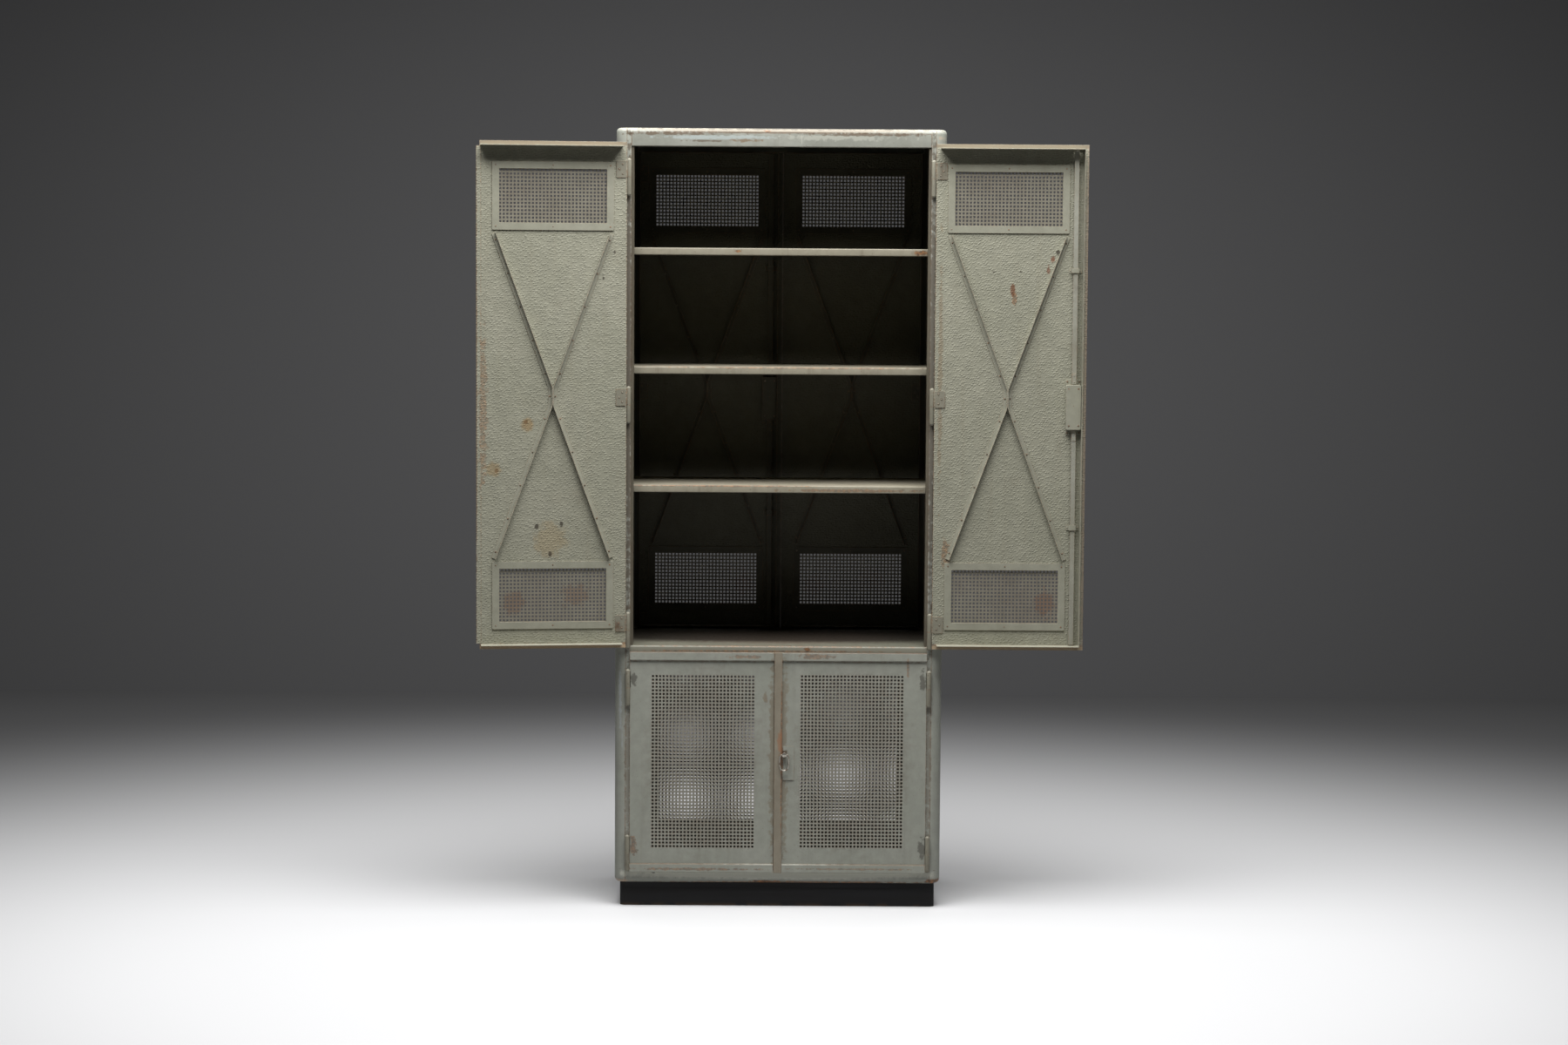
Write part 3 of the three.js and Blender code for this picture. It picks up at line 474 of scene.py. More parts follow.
innerTrimShadePaint = paintedFinish("innerTrimShadePaint", innerTrimShadeLook)
# painted shade: the shell's inner faces get a darker paint standing in for the shade inside the cabinet
shellShadeLook = dict(bodyLook, paint=(86, 84, 72), faded=(94, 92, 80), streaks=0.3)
rivetLook = dict(bodyLook, paint=(104, 96, 82), faded=(86, 76, 62))
shellShadePaint = paintedFinish("shellShadePaint", shellShadeLook)
rivetPaint = paintedFinish("rivetPaint", rivetLook)
hingePaint = paintedFinish("hingePaint", hingeLook)


def blackFinish():
    look = {"paint": (35, 35, 36), "tired": (44, 42, 40), "worn": (70, 58, 46)}
    finish, tree, shader, place = newFinish("blackBoard")
    grain = noiseOf(tree, place, 1.0, 5.0, 0.6, (2.5, 60.0, 60.0))
    tired = blend(tree, ramp(tree, grain, 0.35, 0.75, 0.0, 0.35), tone(*look["paint"]), tone(*look["tired"]))
    wear = useGroup(tree, edgeWear, {"Vector": place, "Width": 0.004, "Ragged": 0.8})
    height = put(tree, "SeparateXYZ", {0: place}).outputs["Z"]
    foot = times(tree, ramp(tree, height, 0.012, 0.0), ramp(tree, noiseOf(tree, place, 30.0), 0.4, 0.6))
    worn = sums(tree, "MAXIMUM", times(tree, wear["Worn"], 0.8), foot)
    feed(tree, shader, {
        "Base Color": blend(tree, worn, tired, tone(*look["worn"])), "Specular IOR Level": 0.2,
        "Roughness": ramp(tree, grain, 0.3, 0.7, 0.6, 0.8), "Normal": bump(tree, grain, 0.0008, 0.5)})
    return finish


def metalFinish():
    look = {"steel": (176, 172, 162), "brown": (104, 82, 62)}
    finish, tree, shader, place = newFinish("wornSteel")
    spots = ramp(tree, noiseOf(tree, place, 95.0, 5.0, 0.65), 0.46, 0.64)
    feed(tree, shader, {
        "Base Color": blend(tree, spots, tone(*look["steel"]), tone(*look["brown"])),
        "Metallic": ramp(tree, spots, 0.0, 1.0, 0.85, 0.2),
        "Roughness": ramp(tree, spots, 0.0, 1.0, 0.3, 0.65),
        "Normal": bump(tree, noiseOf(tree, place, 400.0, 3.0, 0.5), 0.0003, 0.3)})
    return finish


blackBoard = blackFinish()
wornSteel = metalFinish()
print("finishes ready")

# shape tools, in millimetres

sharpAngle = 38     # degrees; a sharper fold shows as an edge
perforation = {"half": 2.9, "pitch": 10}     # half the width of a square hole, and the step to the next one


def blank():
    return {"points": [], "faces": []}


def add(shape, points, faces):
    start = len(shape["points"])
    shape["points"] += [tuple(point) for point in points]
    shape["faces"] += [tuple(start + corner for corner in face) for face in faces]
    return shape


def along(axis, distance, a, b):
    return {"x": (distance, a, b), "y": (a, distance, b), "z": (a, b, distance)}[axis]


def addBlock(shape, xs, ys, zs):
    points = [(x, y, z) for x in xs for y in ys for z in zs]
    faces = [(0, 1, 3, 2), (4, 6, 7, 5), (0, 4, 5, 1), (2, 3, 7, 6), (0, 2, 6, 4), (1, 5, 7, 3)]
    return add(shape, points, faces)


# a flat outline with thickness
def addPlate(shape, outline, low, high, axis):
    count = len(outline)
    points = [along(axis, level, a, b) for level in (low, high) for a, b in outline]
    faces = [tuple(range(count)), tuple(range(2 * count - 1, count - 1, -1))]
    faces += [(i, (i + 1) % count, count + (i + 1) % count, count + i) for i in range(count)]
    return add(shape, points, faces)


# a flat ring between two outlines of the same count
def addRing(shape, outer, inner, low, high, axis):
    count = len(outer)
    points = [along(axis, level, a, b) for level in (low, high) for line in (outer, inner) for a, b in line]
    faces = []
    for i in range(count):
        j = (i + 1) % count
        for first, second in ((0, 1), (1, 3), (3, 2), (2, 0)):
            first, second = first * count, second * count
            faces.append((first + i, first + j, second + j, second + i))
    return add(shape, points, faces)


def roundedBox(halfA, halfB, radius, steps=4, a=0.0, b=0.0):
    corners = ((1, 1, 0), (-1, 1, 90), (-1, -1, 180), (1, -1, 270))
    line = []
    for signA, signB, start in corners:
        for step in range(steps + 1):
            angle = math.radians(start + 90 * step / steps)
            line.append((a + signA * (halfA - radius) + radius * math.cos(angle),
                         b + signB * (halfB - radius) + radius * math.sin(angle)))
    return line


def addTurned(shape, profile, centre, axis, sides=20):
    # profile is (radius, distance along the axis); it starts and ends on the axis
    points, rings = [], []
    for radius, distance in profile:
        ring = []
        for k in range(1 if radius < 1e-6 else sides):
            angle = 2 * math.pi * k / sides
            spot = along(axis, distance, radius * math.cos(angle), radius * math.sin(angle))
            ring.append(len(points))
            points.append([spot[i] + centre[i] for i in range(3)])
        rings.append(ring)
    faces = []
    for first, second in zip(rings, rings[1:]):
        for k in range(sides):
            loop = (first[k % len(first)], first[(k + 1) % len(first)],
                    second[(k + 1) % len(second)], second[k % len(second)])
            faces.append(tuple(dict.fromkeys(loop)))
    return add(shape, points, faces)


def addTube(shape, path, radius, sides):
    points, faces = [], []
    side = Vector((0, 1, 0))
    for i, spot in enumerate(path):
        ahead = (Vector(path[min(i + 1, len(path) - 1)]) - Vector(path[max(i - 1, 0)])).normalized()
        up = ahead.cross(side).normalized()
        for k in range(sides):
            angle = 2 * math.pi * k / sides
            points.append(Vector(spot) + radius * (math.cos(angle) * side + math.sin(angle) * up))
    for i in range(len(path) - 1):
        for k in range(sides):
            j = (k + 1) % sides
            faces.append((i * sides + k, i * sides + j, (i + 1) * sides + j, (i + 1) * sides + k))
    last = (len(path) - 1) * sides
    faces += [tuple(range(sides)), tuple(range(last + sides - 1, last - 1, -1))]
    return add(shape, points, faces)


# fills in the arcs of a bent line: corners are (a, b) or (a, b, bend radius)
def bent(corners, steps=6):
    line = []
    for i, corner in enumerate(corners):
        spot = Vector(corner[:2])
        if len(corner) < 3:
            line.append(tuple(spot))
            continue
        back = (Vector(corners[i - 1][:2]) - spot).normalized()
        forth = (Vector(corners[i + 1][:2]) - spot).normalized()
        half = back.angle(forth) / 2
        centre = spot + (back + forth).normalized() * corner[2] / math.sin(half)
        start = spot + back * corner[2] / math.tan(half) - centre
        end = spot + forth * corner[2] / math.tan(half) - centre
        sweep = math.atan2(start.x * end.y - start.y * end.x, start.dot(end))
        for step in range(steps + 1):
            turn = Matrix.Rotation(sweep * step / steps, 2)
            line.append(tuple(centre + turn @ start))
    return line


def offsetLine(line, distance):
    moved = []
    for i, spot in enumerate(line):
        spot = Vector(spot)
        runs = []
        if i > 0:
            runs.append((spot - Vector(line[i - 1])).normalized())
        if i < len(line) - 1:
            runs.append((Vector(line[i + 1]) - spot).normalized())
        sides = [Vector((-run.y, run.x)) for run in runs]
        mitre = sides[0] + sides[-1]
        moved.append(spot + mitre * distance / (1 + sides[0].dot(sides[-1])))
    return moved


# folded sheet: a middle line drawn along an axis, with cells left out for holes and windows
def addSheet(shape, stations, line, thickness, axis, missing=None):
    skins = (offsetLine(line, thickness / 2), offsetLine(line, -thickness / 2))
    wide, tall = len(stations), len(line)
    points = [along(axis, t, spot.x, spot.y) for spots in skins for t in stations for spot in spots]
    there = [[not (missing and missing(i, j)) for j in range(tall - 1)] for i in range(wide - 1)]

    def isThere(i, j):
        return 0 <= i < wide - 1 and 0 <= j < tall - 1 and there[i][j]

    def corner(face, i, j):
        return (face * wide + i) * tall + j

    faces = []
    for i in range(wide - 1):
        for j in range(tall - 1):
            if not there[i][j]:
                continue
            loop = ((i, j), (i + 1, j), (i + 1, j + 1), (i, j + 1))
            faces.append(tuple(corner(0, *spot) for spot in loop))
            faces.append(tuple(corner(1, *spot) for spot in reversed(loop)))
            beside = ((i, j - 1), (i + 1, j), (i, j + 1), (i - 1, j))
            for k, neighbour in enumerate(beside):
                if not isThere(*neighbour):
                    a, b = loop[k], loop[(k + 1) % 4]
                    faces.append((corner(0, *b), corner(0, *a), corner(1, *a), corner(1, *b)))
    used = sorted({spot for face in faces for spot in face})
    order = {spot: i for i, spot in enumerate(used)}
    return add(shape, [points[spot] for spot in used], [tuple(order[c] for c in face) for face in faces])


# a rivet's or screw's head, standing off a face at (x, z) towards +y or -y
def addHead(shape, x, z, y, radius=2.4, height=1.2, side=1, slot=False):
    crown = [(radius * 0.94, height * 0.45), (radius * 0.62, height * 0.85)]
    if slot:
        crown = [(radius, height * 0.6), (radius * 0.85, height)]
    profile = [(r, y + side * (h - 0.15)) for r, h in [(0, 0), (radius, 0)] + crown + [(0, height)]]
    return addTurned(shape, profile, (x, 0, z), "y", 12)


# both edges of every hole in a row; the step is negative where the row runs down
def holeEdges(first, count, step):
    half = math.copysign(perforation["half"], step)
    return [first + step * k + side for k in range(count) for side in (-half, half)]


def soften(piece, width, angle):
    softened = piece.modifiers.new("softEdges", "BEVEL")
    softened.width = width * mm
    softened.segments = 2
    softened.limit_method = "ANGLE"
    softened.angle_limit = math.radians(angle)
    softened.harden_normals = True


def makePiece(name, shape, finish, body, stands=(), slot="body_paint", leaf=None, bevel=0.0, flat=False):
    flip = leaf["flip"] if leaf else 1
    mesh = bpy.data.meshes.new(name)
    mesh.from_pydata([(x * flip * mm, y * mm, z * mm) for x, y, z in shape["points"]], [], shape["faces"])
    work = bmesh.new()
    work.from_mesh(mesh)
    bmesh.ops.recalc_face_normals(work, faces=work.faces)
    work.to_mesh(mesh)
    work.free()
    mesh.materials.append(finish)
    piece = bpy.data.objects.new(name, mesh)
    bpy.context.scene.collection.objects.link(piece)
    if leaf:
        piece.matrix_world = leaf["matrix"]
    if not flat:
        mesh.shade_smooth()
        mesh.set_sharp_from_angle(angle=math.radians(sharpAngle))
    if bevel:
        soften(piece, bevel, sharpAngle)
    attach(piece, body)
    if stands:
        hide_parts(*stands)
    return piece


# carcass

carcassSize = {
    "width": 914, "depth": 470, "height": 2174, "bottom": 67.1, "sheet": 2, "corner": 28, "topRoll": 12,
    "bottomRoll": 14, "strip": 414.5, "opening": 407, "stripBack": 4, "return": 34, "sill": 107,
    "deckLow": 708, "deckTop": 737.7, "header": 2123.6, "seam": 427, "hingeX": 420.8, "hingeOut": 7.6,
}
frontY = -carcassSize["depth"] / 2
hingeSize = {
    "radius": 6.8, "length": 46, "dome": 6, "pin": 3.4, "pinLength": 30, "bore": 4.2, "boreDepth": 32,
    "upper": (2038, 1409, 780), "lower": (619.4, 152),
}
domeAngles = [math.radians(angle) for angle in (0, 22, 45, 68, 90)]


def bodyShell():
    # the welded outer skin: rings from the bottom to the top, open at the front and the rear
    c = carcassSize
    turns = [math.radians(15 * step) for step in range(7)]
    roll = [(1 - math.sin(turn), 1 - math.cos(turn)) for turn in turns]
    rings = [(c["bottomRoll"] * a, c["bottom"] + c["bottomRoll"] * b) for a, b in roll]
    rings += [(0, c["sill"]), (0, c["header"] + 38)]
    rings += [(c["topRoll"] * b, c["height"] - c["topRoll"] * a) for a, b in roll]
    openLevel = len(roll)
    endX, endY = c["width"] / 2 - c["corner"], c["depth"] / 2 - c["corner"]
    corners = [(endX, -endY, math.radians(-90 + 11.25 * k)) for k in range(9)]
    corners += [(endX, endY, math.radians(11.25 * k)) for k in range(8)]
    down = math.radians(-90)
    groove = ((0.8, 0), (0.1, 0.9), (-0.1, 0.9), (-0.8, 0))
    seam = [(c["seam"] + across, deep - endY, down) for across, deep in groove]
    frontLine = [(-endX, -endY, down)] + [(-x, y, angle) for x, y, angle in seam]
    frontLine += [(-c["strip"], -endY, down), (c["strip"], -endY, down)] + seam[::-1]
    half = frontLine + corners
    plan = half + [(-x, -y, angle + math.pi) for x, y, angle in half]
    count, last = len(plan), (len(rings) - 1) * len(plan)
    points, faces = [], []
    for inset, z in rings:
        reach = c["corner"] - inset
        points += [(x + reach * math.cos(angle), y + reach * math.sin(angle), z) for x, y, angle in plan]
    for level in range(len(rings) - 1):
        low, high = level * count, (level + 1) * count
        for i in range(count):
            j = (i + 1) % count
            middle = abs(plan[i][0] + plan[j][0]) < 1 and abs(plan[i][0]) < c["strip"] + 1
            if not (middle and level == openLevel):
                faces.append((low + i, low + j, high + j, high + i))
    faces += [tuple(range(last, last + count)), tuple(range(count - 1, -1, -1))]
    nodes = ("left_side_panel", "right_side_panel", "top_panel", "bottom_pan")
    shell = makePiece("bodyShell", add(blank(), points, faces), bodyPaint, "carcass", nodes)
    # painted shade: the inner faces of the sheet take the darker paint through the material offset below
    shell.data.materials.append(shellShadePaint)
    thick = shell.modifiers.new("sheetThickness", "SOLIDIFY")
    thick.thickness = c["sheet"] * mm
    thick.offset = -1
    thick.use_even_offset = True
    thick.material_offset = 1
    soften(shell, 0.7, 60)


def postFolds():
    # strips beside the doors and their returns, on all four posts, above and below the deck
    c = carcassSize
    half = c["sheet"] / 2
    corners = [
        (c["strip"] + half, frontY + c["sheet"]),
        (c["strip"] + half, frontY + c["stripBack"] + half),
        (c["opening"] + half, frontY + c["stripBack"] + half, 1.6),
        (c["opening"] + half, frontY + c["return"]),
    ]
    shape = blank()
    for low, high in ((c["sill"] + 0.2, c["deckLow"] - 0.2), (c["deckTop"] + 0.2, c["header"] - 0.2)):
        for signX in (1, -1):
            for signY in (1, -1):
                line = [(x * signX, y * signY) for x, y in bent(corners)]
                addSheet(shape, [low, high], line, c["sheet"], "z")
    # dirty paint with painted shade beside the doors
    makePiece("postFolds", shape, stripDirtAndShadePaint, "carcass", bevel=0.5)


def crossFolds():
    # headers, each with its return and the mouth for the lock rod, and the returns of the sills
    c = carcassSize
    end = c["strip"] - 0.5
    rodX, mouth = 28.3, 22     # where the lock rod passes, and half the width left open for it
    for face, sign in (("front", 1), ("rear", -1)):
        corners = [(frontY + 1, c["header"] + 37.5), (frontY + 1, c["header"] + 1, 1.2),
                   (frontY + 3.9, c["header"] + 1), (frontY + 32, c["header"] + 1)]
        line = [(sign * y, z) for y, z in bent(corners)]
        cuts = sorted((-end, sign * rodX - mouth, sign * rodX + mouth, end))
        last = len(line) - 2
        shape = addSheet(blank(), cuts, line, c["sheet"], "x", lambda i, j: i == 1 and j == last)
        makePiece(face + "HeaderSheet", shape, headerPaint, "carcass", [face + "_header"], bevel=0.5)
    shape = blank()
    for sign in (1, -1):
        line = [(sign * (frontY + y), c["sill"] - 1) for y in (2, 22)]
        addSheet(shape, [-end, end], line, c["sheet"], "x")
    makePiece("sillFolds", shape, bodyPaint, "carcass", bevel=0.4)


def frameHinges():
    h = hingeSize
    hingeX, hingeY = carcassSize["hingeX"], frontY - carcassSize["hingeOut"]
    shape = blank()
    for middle in h["upper"] + h["lower"]:
        low, pinTop = middle - h["length"], middle + h["pinLength"]
        dome = [(h["radius"] * math.sin(angle), low - h["dome"] * math.cos(angle)) for angle in domeAngles]
        profile = dome + [(h["radius"], middle), (h["pin"], middle), (h["pin"], pinTop - 2),
                          (h["pin"] - 1, pinTop), (0, pinTop)]
        for x in (hingeX, -hingeX):
            for sign in (1, -1):
                addTurned(shape, profile, (x, sign * hingeY, 0), "z", 20)
                ys = sorted((sign * (hingeY + 3), sign * (frontY + 1)))
                addBlock(shape, (x - 3, x + 3), ys, (low, middle))
    makePiece("frameHinges", shape, hingePaint, "carcass", bevel=0.4)


def deck():
    c = carcassSize
    half = c["sheet"] / 2
    low, top = c["deckLow"] + half, c["deckTop"] - half
    end = c["strip"] - 0.3
    inner = c["width"] / 2 - c["sheet"] - 0.4
    slotX, slotY = (19.8, 36.8), (frontY + 6, frontY + 13.9)
    sideY = 200     # the deck's ends reach the sides between the posts only
    front = frontY + half
    edge = bent([(frontY + 22, low), (front, low, 1.6), (front, top, 5), (frontY + 12, top)])[:-1]
    flat = [(y, top) for y in (slotY[1], -sideY, sideY, -slotY[1])]
    line = edge + flat + [(-y, z) for y, z in reversed(edge)]
    stations = sorted(sign * x for x in slotX + (end, inner) for sign in (1, -1))

    def gone(i, j):
        x = (stations[i] + stations[i + 1]) / 2
        y = (line[j][0] + line[j + 1][0]) / 2
        if abs(x) > end:
            return abs(y) > sideY - 1
        isSlot = slotX[0] < (x if y < 0 else -x) < slotX[1]
        return isSlot and slotY[0] < -abs(y) < slotY[1]

    shape = addSheet(blank(), stations, line, c["sheet"], "x", gone)
    makePiece("deck", shape, deckPaint, "carcass", ["deck_panel"], bevel=0.4)


def shelves():
    sizes = {"face": 20, "half": 185, "end": 454.6, "lip": 14, "roll": 2.2}
    for name, top in (("upper", 1845), ("middle", 1514), ("lower", 1183)):
        low = top - sizes["face"]
        y = sizes["half"] - 1
        corners = [(-y + sizes["lip"], low + 1), (-y, low + 1, 1.4), (-y, top - 1, sizes["roll"]),
                   (y, top - 1, sizes["roll"]), (y, low + 1, 1.4), (y - sizes["lip"], low + 1)]
        shape = addSheet(blank(), [-sizes["end"], sizes["end"]], bent(corners), 2, "x")
        for sign in (1, -1):
            xs = sorted((sign * (sizes["end"] - 2), sign * (sizes["end"] - 0.1)))
            addBlock(shape, xs, (-y + 3, y - 3), (low + 0.5, top - 1.2))
        nodes = [name + "_shelf"]
        makePiece(name + "ShelfTray", shape, shelfPaint, "carcass", nodes, "inside_paint", bevel=0.4)


def plinth():
    sizes = {"halfWidth": 442, "halfDepth": 219, "rail": 45, "corner": 12, "top": 66.8}
    shape = blank()
    outer = roundedBox(sizes["halfWidth"], sizes["halfDepth"], sizes["corner"], 5)
    inner = roundedBox(sizes["halfWidth"] - sizes["rail"], sizes["halfDepth"] - sizes["rail"], 0.5, 5)
    addRing(shape, outer, inner, 0, sizes["top"], "z")
    addBlock(shape, (-22.5, 22.5), (-174.5, 174.5), (0, sizes["top"] - 0.5))
    makePiece("plinthBoards", shape, blackBoard, "carcass", ["plinth"], "black_wood", bevel=1.6)


bodyShell()
postFolds()
crossFolds()
frameHinges()
deck()
shelves()
plinth()
print("carcass built")

# doors, drawn closed: x runs across the leaf from the hinge axis, y inwards, z up


def leafOf(face, side, opening):
    turn = Matrix.Rotation(math.radians(180 if face == "rear" else 0), 4, "Z")
    axis = Vector((side * carcassSize["hingeX"], frontY - carcassSize["hingeOut"], 0))
    place = Matrix.Translation(axis * mm)
    return {"matrix": turn @ place @ Matrix.Rotation(side * math.radians(opening), 4, "Z"), "flip": -side}


upperDoor = {
    "outer": 5.6, "inner": 7.2, "low": 732.2, "high": 2134, "flangeLow": 745, "flangeHigh": 2122,
    "flangeStart": 18, "flangeReach": 49, "windows": (1984, 881.5), "windowHalf": (148, 74), "frame": 20,
    "centre": 1433,
}


def addDoorKnuckles(shape, levels, webTo):
    h = hingeSize
    for middle in levels:
        low, high, bore = middle + 0.3, middle + h["length"], middle + h["boreDepth"]
        dome = [(h["radius"] * math.cos(angle), high + h["dome"] * math.sin(angle)) for angle in domeAngles]
        profile = [(0, bore), (h["bore"], bore), (h["bore"], low), (h["radius"], low)] + dome
        addTurned(shape, profile, (0, 0, 0), "z", 20)
        addBlock(shape, (4.9, 8.4), (2.6, webTo - 0.1), (low, high))


# the rear doors' trim takes the darker paint that stands in for the shade inside the cabinet
def trimOf(name):
    return innerTrimShadePaint if name.startswith("rear") else framePaint


def upperSkin(name, leaf, body, windowS, edge, tray, lapped):
    d = upperDoor
    inside = {"slot": "inside_paint", "leaf": leaf}
    # the rear doors take the darker paint that stands in for the shade inside the cabinet
    paint, knucklePaint = innerShadePaint, innerTrimShadePaint
    if name.startswith("front"):
        paint, knucklePaint = lockDoorPaint if tray else doorPaint, hingePaint
    halfS, halfZ = d["windowHalf"]
    stations = [6.3, windowS - halfS, windowS + halfS, edge]
    high, low = d["windows"]
    levels = (d["low"], low - halfZ, low + halfZ, d["centre"], high - halfZ, high + halfZ, d["high"])
    line = [((d["outer"] + d["inner"]) / 2, z) for z in levels]
    sheet = d["inner"] - d["outer"]
    skin = addSheet(blank(), stations, line, sheet, "x", lambda i, j: i == 1 and j in (1, 4))
    makePiece(name + "Skin", skin, paint, body, [body + "_skin"], bevel=0.4, **inside)
    folds = blank()
    start, reach, base, top = d["flangeStart"], d["flangeReach"], d["flangeLow"] + 0.8, d["flangeHigh"] - 0.8
    if tray:
        # the long flange leaves a gap for the rods at its two ends
        turned = [(start, base), (385, base), (400, base), (413.3, base, 1.6)]
        route = bent(turned + [(corner[0], top) + corner[2:] for corner in reversed(turned)])
        gone = [i for i in range(len(route) - 1) if 384 < (route[i][0] + route[i + 1][0]) / 2 < 401]
        addSheet(folds, [d["inner"] - 0.1, 13, 20, reach], route, 1.6, "y", lambda i, j: i == 1 and j in gone)
    else:
        for z in (base, top):
            addSheet(folds, [d["inner"] - 0.1, reach], [(start, z), (410, z)], 1.6, "y")
    if lapped:
        lap = addSheet(blank(), [747.8, 2119.2], [(edge - 4, 8.25), (edge + 9.5, 8.25)], 1.6, "z")
        makePiece(name + "Lap", lap, paint, body, bevel=0.4, **inside)
    stands = [body + "_tray"] if tray else []
    makePiece(name + "Flanges", folds, trimOf(name), body, stands, bevel=0.4, **inside)
    hinges, rivets = blank(), blank()
    for z in hingeSize["upper"]:
        addPlate(hinges, roundedBox(14, 23, 2, 3, 22, z + 21), d["inner"] - 0.1, 9.2, "y")
        for x, up in ((18, 35), (26.4, 21), (18, 8.6)):
            addHead(hinges, x, z + up, 9.2, 2.3, 1.1)
            addTurned(rivets, [(0, 9.0), (3.4, 9.0), (3.4, 9.3), (0, 9.3)], (x, 0, z + up), "y", 12)
    makePiece(name + "HingeRivets", rivets, rivetPaint, body, **inside)
    addDoorKnuckles(hinges, hingeSize["upper"], d["inner"])
    makePiece(name + "Hinges", hinges, knucklePaint, body, bevel=0.3, **inside)


def upperBrace(name, leaf, body, centre):
    # two bent angle bars back to back, riveted through their flat legs
    sizes = {"halfWidth": 158, "halfHeight": 450, "neck": 25, "leg": 12, "rib": 19.5}
    middle = upperDoor["centre"]
    half = [(-sizes["halfWidth"], sizes["halfHeight"]), (-1.1, sizes["neck"], 30)]
    route = bent(half + [(half[1][0], -sizes["neck"], 30), (half[0][0], -sizes["halfHeight"])], 4)
    section = bent([(0, sizes["rib"]), (0, 8.5, 1.4), (-sizes["leg"] + 1, 8.5)], 4)
    loop = offsetLine(section, 1) + offsetLine(section, -1)[::-1]
    lines = [offsetLine(route, spot.x) for spot in loop]
    count = len(loop)
    slant = Vector((sizes["halfWidth"] - 1, sizes["halfHeight"] - sizes["neck"])).normalized()
    shape, rivets = blank(), blank()
    for sign in (1, -1):
        points = []
        for i in range(len(route)):
            for line, spot in zip(lines, loop):
                points.append((centre + sign * line[i][0], spot.y, middle + line[i][1]))
        faces = [tuple(range(count)), tuple(range(len(points) - 1, len(points) - count - 1, -1))]
        for i in range(len(route) - 1):
            for k in range(count):
                j = (k + 1) % count
                faces.append((i * count + k, i * count + j, (i + 1) * count + j, (i + 1) * count + k))
        add(shape, points, faces)
        addHead(rivets, centre + sign * 7.4, middle, 9.4, 2.7, 1.4)
        for up in (1, -1):
            for distance in range(42, 435, 98):
                x = 1.1 + slant.x * distance + slant.y * 6
                z = sizes["neck"] + slant.y * distance - slant.x * 6
                addHead(rivets, centre + sign * x, middle + up * z, 9.4, 2.7, 1.4)
    inside = {"slot": "inside_paint", "leaf": leaf}
    makePiece(name + "BraceRivets", rivets, rivetPaint, body, **inside)
    makePiece(name + "Brace", shape, trimOf(name), body, [body + "_brace"], bevel=0.3, **inside)


def windowPieces(name, leaf, body, level, centreS, centreZ, holes):
    halfS, halfZ = upperDoor["windowHalf"]
    frame = upperDoor["frame"]
    outer = roundedBox(halfS + frame, halfZ + frame, 3, 3, centreS, centreZ)
    inner = roundedBox(halfS, halfZ, 1, 3, centreS, centreZ)
    shape, rivets = addRing(blank(), outer, inner, 7.3, 10.2, "y"), blank()
    for x in (-halfS - frame / 2, 0, halfS + frame / 2):
        for z in (-halfZ - frame / 2, halfZ + frame / 2):
            addHead(rivets, centreS + x, centreZ + z, 10.2, 2.3, 0.8)
    nodes, name = body + "_" + level.lower(), name + level
    inside = {"slot": "inside_paint", "leaf": leaf}
    makePiece(name + "FrameRivets", rivets, rivetPaint, body, **inside)
    makePiece(name + "Frame", shape, trimOf(name), body, [nodes + "_frame"], bevel=0.5, **inside)
    # the perforated sheet, with its real holes
    firstS, topRow, across, down = holes
    reachS, reachZ, pitch = halfS + frame - 2, halfZ + frame - 2, perforation["pitch"]
    stations = [centreS - reachS] + holeEdges(firstS, across, pitch) + [centreS + reachS]
    rows = [centreZ + reachZ] + holeEdges(topRow, down, -pitch) + [centreZ - reachZ]
    line = [(4.5, z) for z in rows]
    shape = addSheet(blank(), stations, line, 1.3, "x", lambda i, j: i % 2 == 1 and j % 2 == 1)
    makePiece(name + "Screen", shape, screenPaint, body, [nodes + "_screen"], flat=True, **inside)


def dropRing(centreS, centreZ):
    half = [(-2.5, 0), (-8, -0.4), (-11.6, -5), (-12.8, -17), (-11.8, -30), (-7.6, -41.6)]
    marks = half + [(0, -43.8)] + [(-x, z) for x, z in reversed(half)]
    path = []
    for i in range(len(marks) - 1):
        # a smooth curve through the marks
        a, b = marks[max(i - 1, 0)], marks[i]
        c, d = marks[i + 1], marks[min(i + 2, len(marks) - 1)]
        for t in (0, 0.2, 0.4, 0.6, 0.8):
            x, z = (0.5 * (2 * b[k] + (c[k] - a[k]) * t + (2 * a[k] - 5 * b[k] + 4 * c[k] - d[k]) * t * t
                           + (3 * b[k] - a[k] - 3 * c[k] + d[k]) * t ** 3) for k in (0, 1))
            path.append((centreS + x, -9.5, centreZ + z))
    path.append((centreS + marks[-1][0], -9.5, centreZ + marks[-1][1]))
    return addTube(blank(), path, 2.15, 12)


def spindle(centreS, centreZ, plateOuter, end):
    profile = [(0, -14), (4.6, -14), (6.1, -13.4), (6.5, -12.3), (6.5, -5), (5.2, -5),
               (5.2, plateOuter - 0.3), (4.5, plateOuter - 0.3), (4.5, end), (0, end)]
    return addTurned(blank(), profile, (centreS, 0, centreZ), "y", 24)


rodLockSize = {"s": 392.5, "z": 1411, "rodTop": 2117, "rodFoot": 749, "guides": ((1782, 1795), (1069, 1084))}


